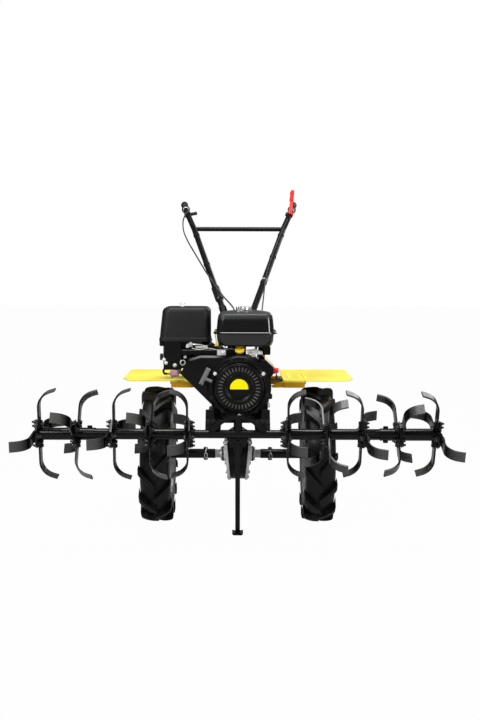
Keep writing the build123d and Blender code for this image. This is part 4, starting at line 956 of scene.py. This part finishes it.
def wiring():
    """Stop-switch wires with their plug, and the spark plug with its lead."""
    yellow = pipe(1.7, (88, 330, 736), (108, 344, 722), (126, 352, 706), (140, 350, 688), (141, 346, 676))
    green = pipe(2, (147, 334, 660), (158, 322, 644), (170, 306, 638), (176, 290, 634), (168, 255, 632),
                 (148, 200, 628), (118, 156, 622))
    spark = mark(-236, 262, 672), (-0.25, 0, 0.9)
    black = [
        pipe(2.6, (145, 340, 668), (150, 330, 654), (149, 318, 643), (156, 300, 634), (172, 270, 628), (150, 200, 622),
             (118, 150, 618)),
        block(mark(150, 318, 640), (0.8, 0.25, -0.35), 12, 10, (22, 0, 2), (24, 2, 2)),
        pipe(3.6, (-246, 262, 700), (-250, 262, 728), (-215, 280, 742), (-160, 296, 736), (-110, 296, 738)),
        turned([(8, 0), (10, 4), (10, 20), (7, 30), (4.5, 34)], 20, *spark),
    ]
    piece("wire_yellow", yellow, "yellow_plastic")
    piece("wires_black", black, "cable_rubber")
    piece("wire_green", green, "green_plastic")
    piece("spark_plug", turned([(10, -20), (10, -12), (7.5, -11), (7, 2)], 16, *spark), "ceramic")


def crankcase():
    """Ribs, drain plugs, dipstick and the wires' grommet on the wall behind the cylinder."""
    wall = 118
    low, high = wall - 1, wall + 5
    ribs = [sheet(4, distance, (low, 509), (high, 514), (high, 626), (low, 638)) for distance in (118, 176, 234)]
    caps = [
        turned([(16.5, -1), (16.5, 6), (12, 8), (11.5, 19), (8.5, 22)], 24, mark(wall, 147, 548), LEFT),
        turned([(9.5, -1), (9.5, 3), (7, 7)], 20, mark(wall, 153, 620), LEFT),
    ]
    piece("crankcase_ribs", ribs, "engine_black", bevel=0.0008)
    piece("drain_plugs", bolts(LEFT, (wall, 96, 526, 17, 10), (wall, 262, 526, 17, 10)), "zinc")
    piece("dipstick_cap", caps, "dark_plastic")


def guard():
    """Slotted sheet cage over the silencer's rear and outer faces."""
    rear, out, middle = ahead(-0.04) + 0.01, -0.31, 0.715
    bar, rail = (11, 100, (1.6, 0, 4)), (12, (2, 0, 4))
    bars = [block((x, rear, middle), REAR, *bar) for x in np.linspace(-0.288, -0.122, 9)]
    bars += [block((out, ahead(distance), middle), -LEFT, *bar) for distance in np.linspace(-0.026, 0.056, 5)]
    for z in (0.663, 0.767):
        bars.append(block((-0.205, rear - 0.001, z), REAR, 190, *rail))
        bars.append(block((out + 0.001, ahead(0.015), z), -LEFT, 108, *rail))
        bars += [wire([(x, rear, z), (x, rear - 0.016, z)], 4) for x in (-0.285, -0.125)]
        bars += [wire([(out, ahead(distance), z), (out + 0.016, ahead(distance), z)], 4)
                 for distance in (-0.025, 0.055)]
    piece("silencer_guard", bars, "guard_steel")


class TRACTOR_OT_engine_fittings(bpy.types.Operator):
    """Adds the engine's bolts, governor rods and springs, wires, spark plug and silencer guard"""

    bl_idname = "tractor.engine_fittings"
    bl_label = "Engine fittings"

    def execute(self, context):
        for build in (fasteners, fuel_line, governor, wiring, guard, crankcase):
            build()
        return {"FINISHED"}


# ==== drive and frame fittings
COVER_CIRCLE = 0.098


def cover_face(z):
    """Offset of a drive cover's outer face at a height: it leans outwards up to a straight part."""
    foot, foot_face, straight, straight_face, lean = 0.159, 0.0395, 0.345, 0.0563, 0.017 / 0.186
    return foot_face + (z - foot) * lean if z < straight else straight_face


def fenders():
    """Round-headed bolts over the angles, and the gussets beside the casing."""
    heads, gussets = [], []
    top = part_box("fender_inner")[1].z / MM
    for _, sign in SIDES:
        heads += [turned([(10.5, 0), (9.5, 2.2), (6.5, 4.2), (3, 5)], 20, mark(sign * x, distance, top), UP)
                  for x in (215, 262, 283.5) for distance in (-10, -110)]
        # The gussets sit below the fender's top, so their yellow finish paints them in the ochre of painted shade.
        gussets.append(sheet(3, 117, *((sign * x, top - drop) for x, drop in (
            (188, 3), (188, 29), (142, 30), (136, 20)))))
    piece("fender_bolts", heads, "yellow_paint")
    piece("fender_gussets", gussets, "yellow_paint", bevel=0.0004)


class TRACTOR_OT_frame_fittings(bpy.types.Operator):
    """Adds the bolts of the drive covers, gearbox, frame, hitch and fenders, and the stand's clips"""

    bl_idname = "tractor.frame_fittings"
    bl_label = "Frame fittings"

    def execute(self, context):
        bright, dark, clips = [], [], []
        for _, sign in SIDES:
            for degrees in (22, 158, 200, 240, 284, 318, 346):
                turn = math.radians(degrees)
                z = AXLE.z + COVER_CIRCLE * math.sin(turn)
                at = spot(sign * cover_face(z), COVER_CIRCLE * math.cos(turn), z)
                bright.append(bolt(at, (sign, 0, -0.08), 10, 6))
            dark += bolts(LEFT * sign, *((sign * 85.2, distance, z, 13, 8) for z, distance in (
                (434, 12), (434, -60), (434, -140), (520, 18), (520, -150), (600, 10), (614, -60), (560, -146))))
            bright += bolts(REAR, *((sign * 22, -172, z, 13, 8) for z in (447, 493)))
            dark += bolts(FRONT, *((sign * x, 444.5, z, 12, 7) for x in (92, 112) for z in (462, 486)))
            clips.append(hoop((sign * 0.0465, PIVOT.y - 0.002, PIVOT.z - 0.008), (0.35, -1, 0.1), 8.5, 1.6))
            clips.append(wire([(sign * x, PIVOT.y + y, PIVOT.z + z) for x, y, z in (
                (0.04, 0, -0.004), (0.044, -0.002, 0.007), (0.051, -0.002, 0.003))], 1.4))
        piece("bright_frame_bolts", bright, "zinc")
        piece("dark_frame_bolts", dark, "dull_bolt")
        piece("stand_clips", clips, "dull_bolt")
        fenders()
        return {"FINISHED"}


# ==== handlebar fittings
# Marks of a handle tube's line: its foot, its two bends and its end.
HANDLE = ((32.6, -182, 797), (223, -850, 1271), (268, -955, 1366), (285, -1090, 1408))
LOWER, MIDDLE, GRIP = range(3)
CLIPS_AT = {"left": (0.44, 0.7, 0.93), "right": (0.3, 0.62, 0.93)}


def on_handle(sign, run, share):
    """Point and direction on a handle tube: this share along a straight run."""
    start, end = (mark(sign * x, distance, z) for x, distance, z in HANDLE[run:run + 2])
    return start + (end - start) * share, unit(end - start)


def collar(at, along, half, inner, outer, lip=0.5):
    """Short band round a tube, as half a length, two radii and the width of its chamfers."""
    return turned([(inner, -half), (outer, lip - half), (outer, half - lip), (inner, half)], 24, at, along)


def lever_sleeve():
    """Soft red end of the clutch lever, an oval lathe along its upper half, and the cable's tie."""
    corner = np.array(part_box("clutch_lever")[1])
    low, high = corner - (0.0157, 0.037, 0.0625), corner - (0.01, 0.012, 0.0065)
    long, tip, oval = np.linalg.norm(high - low), 0.0112, 1.25
    profile = [(0.0085, 0.0), (0.0105, 0.002), (0.0108, long * 0.25), (0.0096, long * 0.5), (tip, long * 0.75)]
    profile += [(tip * math.cos(t), long * 0.8 + long * 0.2 * math.sin(t)) for t in np.linspace(0.2, 1.5, 7)]
    points, faces = lathe(profile, 28)
    piece("lever_sleeve", moved((points * (1.0, oval, 1.0), faces), basis(low, high - low, REAR)), "red_plastic")
    at, along = on_handle(1, LOWER, 0.46)
    tail = [at + end for end in ((0.015, -0.004, 0.0), (0.024, -0.008, 0.004), (0.03, -0.006, -0.004))]
    piece("cable_tie", [collar(at, along, 3, 14.2, 16.2), wire(tail, 1.6)], "ceramic")


class TRACTOR_OT_handlebar_fittings(bpy.types.Operator):
    """Builds the ribbed grips, and adds the bands, cable clips, spring and lever screws"""

    bl_idname = "tractor.handlebar_fittings"
    bl_label = "Handlebar fittings"

    def execute(self, context):
        grips, bands, clips, screws = [], [], [], []
        grip_length, pitch, waist = 0.1075, 7.8, 92
        step = np.linspace(6, 98, 70)
        rib = 16.2 + 0.9 * np.sign(np.sin(step * 2 * np.pi / pitch)) + 0.6 * np.cos(step * 2 * np.pi / waist)
        grip = [(15, 0), (20.5, 0.8), (21.2, 2.8), (20.5, 4.8), (17, 5.6), *zip(rib, step), (18, 99), (18.8, 102),
                (17.8, 106), (12, 108.5), (4, 108.8)]
        for side, sign in SIDES:
            tip, along = on_handle(sign, GRIP, 1.0)
            start = tip - along * grip_length
            grips.append(turned(grip, 28, start, along))
            bands.append(turned([(14.6, -10), (15.6, -9), (15.6, -2), (14.6, -1)], 28, start, along))
            for share in CLIPS_AT[side]:
                at, along = on_handle(sign, LOWER, share)
                clips.append(collar(at, along, 5, 14.2, 16))
                screws.append(bolt(at + (0, -0.0158, 0.002), (0, -1, 0.1), 7, 4))
        at, along = on_handle(1, MIDDLE, 0.8)
        screws += [bolt(at + along * push + (-0.016, -0.004, 0.004), (-1, -0.3, 0.2), 9, 5)
                   for push in (-0.006, 0.008)]
        spring_ends = [on_handle(-1, LOWER, share)[0] for share in (0.075, 0.21)]
        clips.append(turned([(15, -52), (19, -46), (19.5, -10), (18.5, 0), (19.5, 10), (19, 46), (15, 52)], 24,
                            *on_handle(-1, LOWER, 0.335)))
        piece("handle_grips", grips, "grip_rubber", crease=24, replaces=("handle_grips",))
        piece("handle_bands", bands, "zinc")
        piece("cable_screws", screws, "dull_bolt")
        lever_sleeve()
        piece("cable_clips", clips, "cable_rubber")
        piece("handle_spring", helix(*spring_ends, 15.8, 1.6, 17, 16), "cable_rubber", crease=60)
        return {"FINISHED"}


# ==== stage
def floor_finish():
    """White to the camera, to gloss and through glass, but still darkened by the tractor's shadow."""
    s = Shader("floor", Base_Color=(0.3, 0.3, 0.3, 1), Roughness=0.9)
    seen = s.node("ShaderNodeLightPath", output="Is Camera Ray")
    glossy = s.node("ShaderNodeLightPath", output="Is Glossy Ray")
    through = s.node("ShaderNodeLightPath", output="Is Transmission Ray")
    white = s.node("ShaderNodeEmission", {}, {"Color": (1, 1, 1, 1), "Strength": 1.0})
    shown = seen * settings().floor_white + glossy * 0.15 + through
    blend = s.node("ShaderNodeMixShader", {}, {0: shown, 1: Signal(s, s.principled.outputs[0]), 2: white})
    s.tree.links.new(blend.socket, s.tree.nodes["Material Output"].inputs["Surface"])
    return s.material


def backdrop(context):
    """A world that is white to the camera and a softer white as light."""
    world = bpy.data.worlds.new("studio")
    world.use_nodes = True
    context.scene.world = world
    tree = world.node_tree
    back = tree.nodes["Background"]
    back.inputs["Color"].default_value = (1, 1, 1, 1)
    path = tree.nodes.new("ShaderNodeLightPath")
    scale = tree.nodes.new("ShaderNodeMapRange")
    scale.inputs["To Min"].default_value = settings().sky
    scale.inputs["To Max"].default_value = 1.0
    tree.links.new(path.outputs["Is Camera Ray"], scale.inputs["Value"])
    tree.links.new(scale.outputs[0], back.inputs["Strength"])


def lamps():
    """Soft boxes: name, place, power, width, height, aimed at the engine."""
    target = Vector((0, ahead(0.2), 0.65))
    for name, place, power, width, height in (
        ("key", (-2.6, -4.2, 3.4), 190, 1.5, 1.5),
        ("fill", (3.2, -3.4, 1.6), 80, 0.9, 2.2),
        ("top", (0.0, -0.6, 4.4), 150, 2.6, 1.6),
        ("rim", (2.2, 3.6, 2.8), 55, 2.4, 2.4),
    ):
        lamp = bpy.data.lights.new(name, "AREA")
        lamp.shape, lamp.size, lamp.size_y, lamp.energy = "RECTANGLE", width, height, power
        holder = added(name, lamp)
        holder.location = place
        holder.rotation_euler = (target - Vector(place)).to_track_quat("-Z", "Y").to_euler()


def aim_camera(context):
    """Level with the handlebar, in front, pitched slightly down."""
    sizes = settings()
    lens = bpy.data.cameras.new("camera")
    lens.lens, lens.sensor_width = sizes.focal_length, 36.0
    lens.clip_end = 100.0
    camera = added("camera", lens)
    camera.location = (sizes.camera_side, ahead(sizes.camera_distance), sizes.camera_height)
    camera.rotation_euler = (math.pi / 2 - sizes.camera_pitch, sizes.camera_roll, 0)
    context.scene.camera = camera


class TRACTOR_OT_stage(bpy.types.Operator):
    """Lays the pale floor, the soft lights and the camera"""

    bl_idname = "tractor.stage"
    bl_label = "Stage"

    def execute(self, context):
        floor_mesh = bpy.data.meshes.new("floor")
        reach = 30.0
        corners = [(-reach, -reach, 0), (reach, -reach, 0), (reach, reach, 0), (-reach, reach, 0)]
        floor_mesh.from_pydata(corners, [], [(0, 1, 2, 3)])
        floor = added("floor", floor_mesh)
        floor_mesh.materials.append(floor_finish())
        backdrop(context)
        lamps()
        aim_camera(context)
        context.scene.view_settings.view_transform = "Standard"
        return {"FINISHED"}


# ==== add-on
def size(label, value, text):
    """A length in metres."""
    return bpy.props.FloatProperty(name=label, description=text, default=value, unit="LENGTH", precision=4)


def angle(label, value, text):
    return bpy.props.FloatProperty(name=label, description=text, default=value, unit="ROTATION")


def amount(label, value, text):
    return bpy.props.FloatProperty(name=label, description=text, default=value)


def tint(label, value, text):
    """A colour, linear red, green and blue."""
    return bpy.props.FloatVectorProperty(
        name=label, description=text, default=value, subtype="COLOR", size=3, min=0, max=1)


class TractorSettings(bpy.types.PropertyGroup):
    """Sizes and colours of the tractor's finishing pieces"""

    tyre_radius: size("Tyre radius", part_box("tyre_left")[1].z / 2, "Radius over the lugs")
    tyre_width: size("Tyre width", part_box("tyre_left")[1].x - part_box("tyre_left")[0].x, "Width of the section")
    bead_radius: size("Bead radius", 0.1525, "Radius where the tyre sits on the rim")
    lug_height: size("Lug height", 0.022, "Depth of the tread")
    filter_height: size("Filter box height", 0.133, "Of the moulded box, without the lip below it")
    lug_lean: angle("Lug lean", math.radians(15), "How far a lug runs round the tyre from the middle to its edge")
    lug_count: bpy.props.IntProperty(name="Lugs", description="Lugs on each half of a tyre", default=13, min=8)
    black: tint("Black paint", (0.001, 0.001, 0.0011), "Paint of the frame, tines and engine")
    fender: tint("Fender yellow", (1.0, 0.86, 0.1), "Paint of the fenders")
    badge: tint("Badge yellow", (1.0, 0.85, 0.0), "Upper half of the starter's centre")
    # The skirt and bracket ochre is painted shade: the fender yellow as it looks in shadow.
    ochre: tint("Skirt ochre", (0.6, 0.3, 0.01), "Paint of the fender brackets")
    red: tint("Red", (0.75, 0.02, 0.015), "Clutch lever and stop switch")
    # The tank crown's lighter colour is a painted reflection of the light above.
    tank_top: tint("Tank crown", (0.016, 0.016, 0.017), "Matt paint on the crown of the fuel tank")
    tyre: tint("Tyre black", (0.0028, 0.0028, 0.0029), "Rubber of the tyres")
    filter_box: tint("Filter box", (0.0085, 0.0085, 0.0088), "Plastic of the air filter cover")
    sky: amount("Sky", 0.16, "Strength of the surrounding light")
    floor_white: amount("Floor white", 0.98, "Share of pure white in the floor that the camera sees")
    focal_length: bpy.props.FloatProperty(
        name="Focal length", description="Of the camera's lens, in millimetres", default=50.28, unit="CAMERA")
    camera_distance: size("Camera distance", 4.2326, "From the wheel axle, ahead")
    camera_height: size("Camera height", 1.0408, "Above the floor")
    camera_side: size("Camera side", 0.0071, "To the left of the middle")
    camera_pitch: angle("Camera pitch", math.radians(4.816), "Below the horizon")
    camera_roll: angle("Camera roll", math.radians(-0.15), "About the line of sight")


class TRACTOR_PT_panel(bpy.types.Panel):
    """Lists the building steps and the settings"""

    bl_label = "Two-wheel tractor"
    bl_space_type = "VIEW_3D"
    bl_region_type = "UI"
    bl_category = "Tractor"

    def draw(self, context):
        for step in STEPS:
            self.layout.operator(step.bl_idname)
        for name in TractorSettings.__annotations__:
            self.layout.prop(context.scene.tractor, name)


STEPS = (
    TRACTOR_OT_stage, TRACTOR_OT_structure, TRACTOR_OT_tyres, TRACTOR_OT_wheel_fittings, TRACTOR_OT_rotor_fittings,
    TRACTOR_OT_engine_covers, TRACTOR_OT_engine_fittings, TRACTOR_OT_frame_fittings, TRACTOR_OT_handlebar_fittings,
)


def register():
    for part in (TractorSettings, *STEPS, TRACTOR_PT_panel):
        bpy.utils.register_class(part)
    bpy.types.Scene.tractor = bpy.props.PointerProperty(type=TractorSettings)


def unregister():
    del bpy.types.Scene.tractor
    for part in (TRACTOR_PT_panel, *reversed(STEPS), TractorSettings):
        bpy.utils.unregister_class(part)


def main():
    register()
    for step in STEPS:
        getattr(bpy.ops.tractor, step.bl_idname.split(".")[1])()


if __name__ == "__main__":
    main()
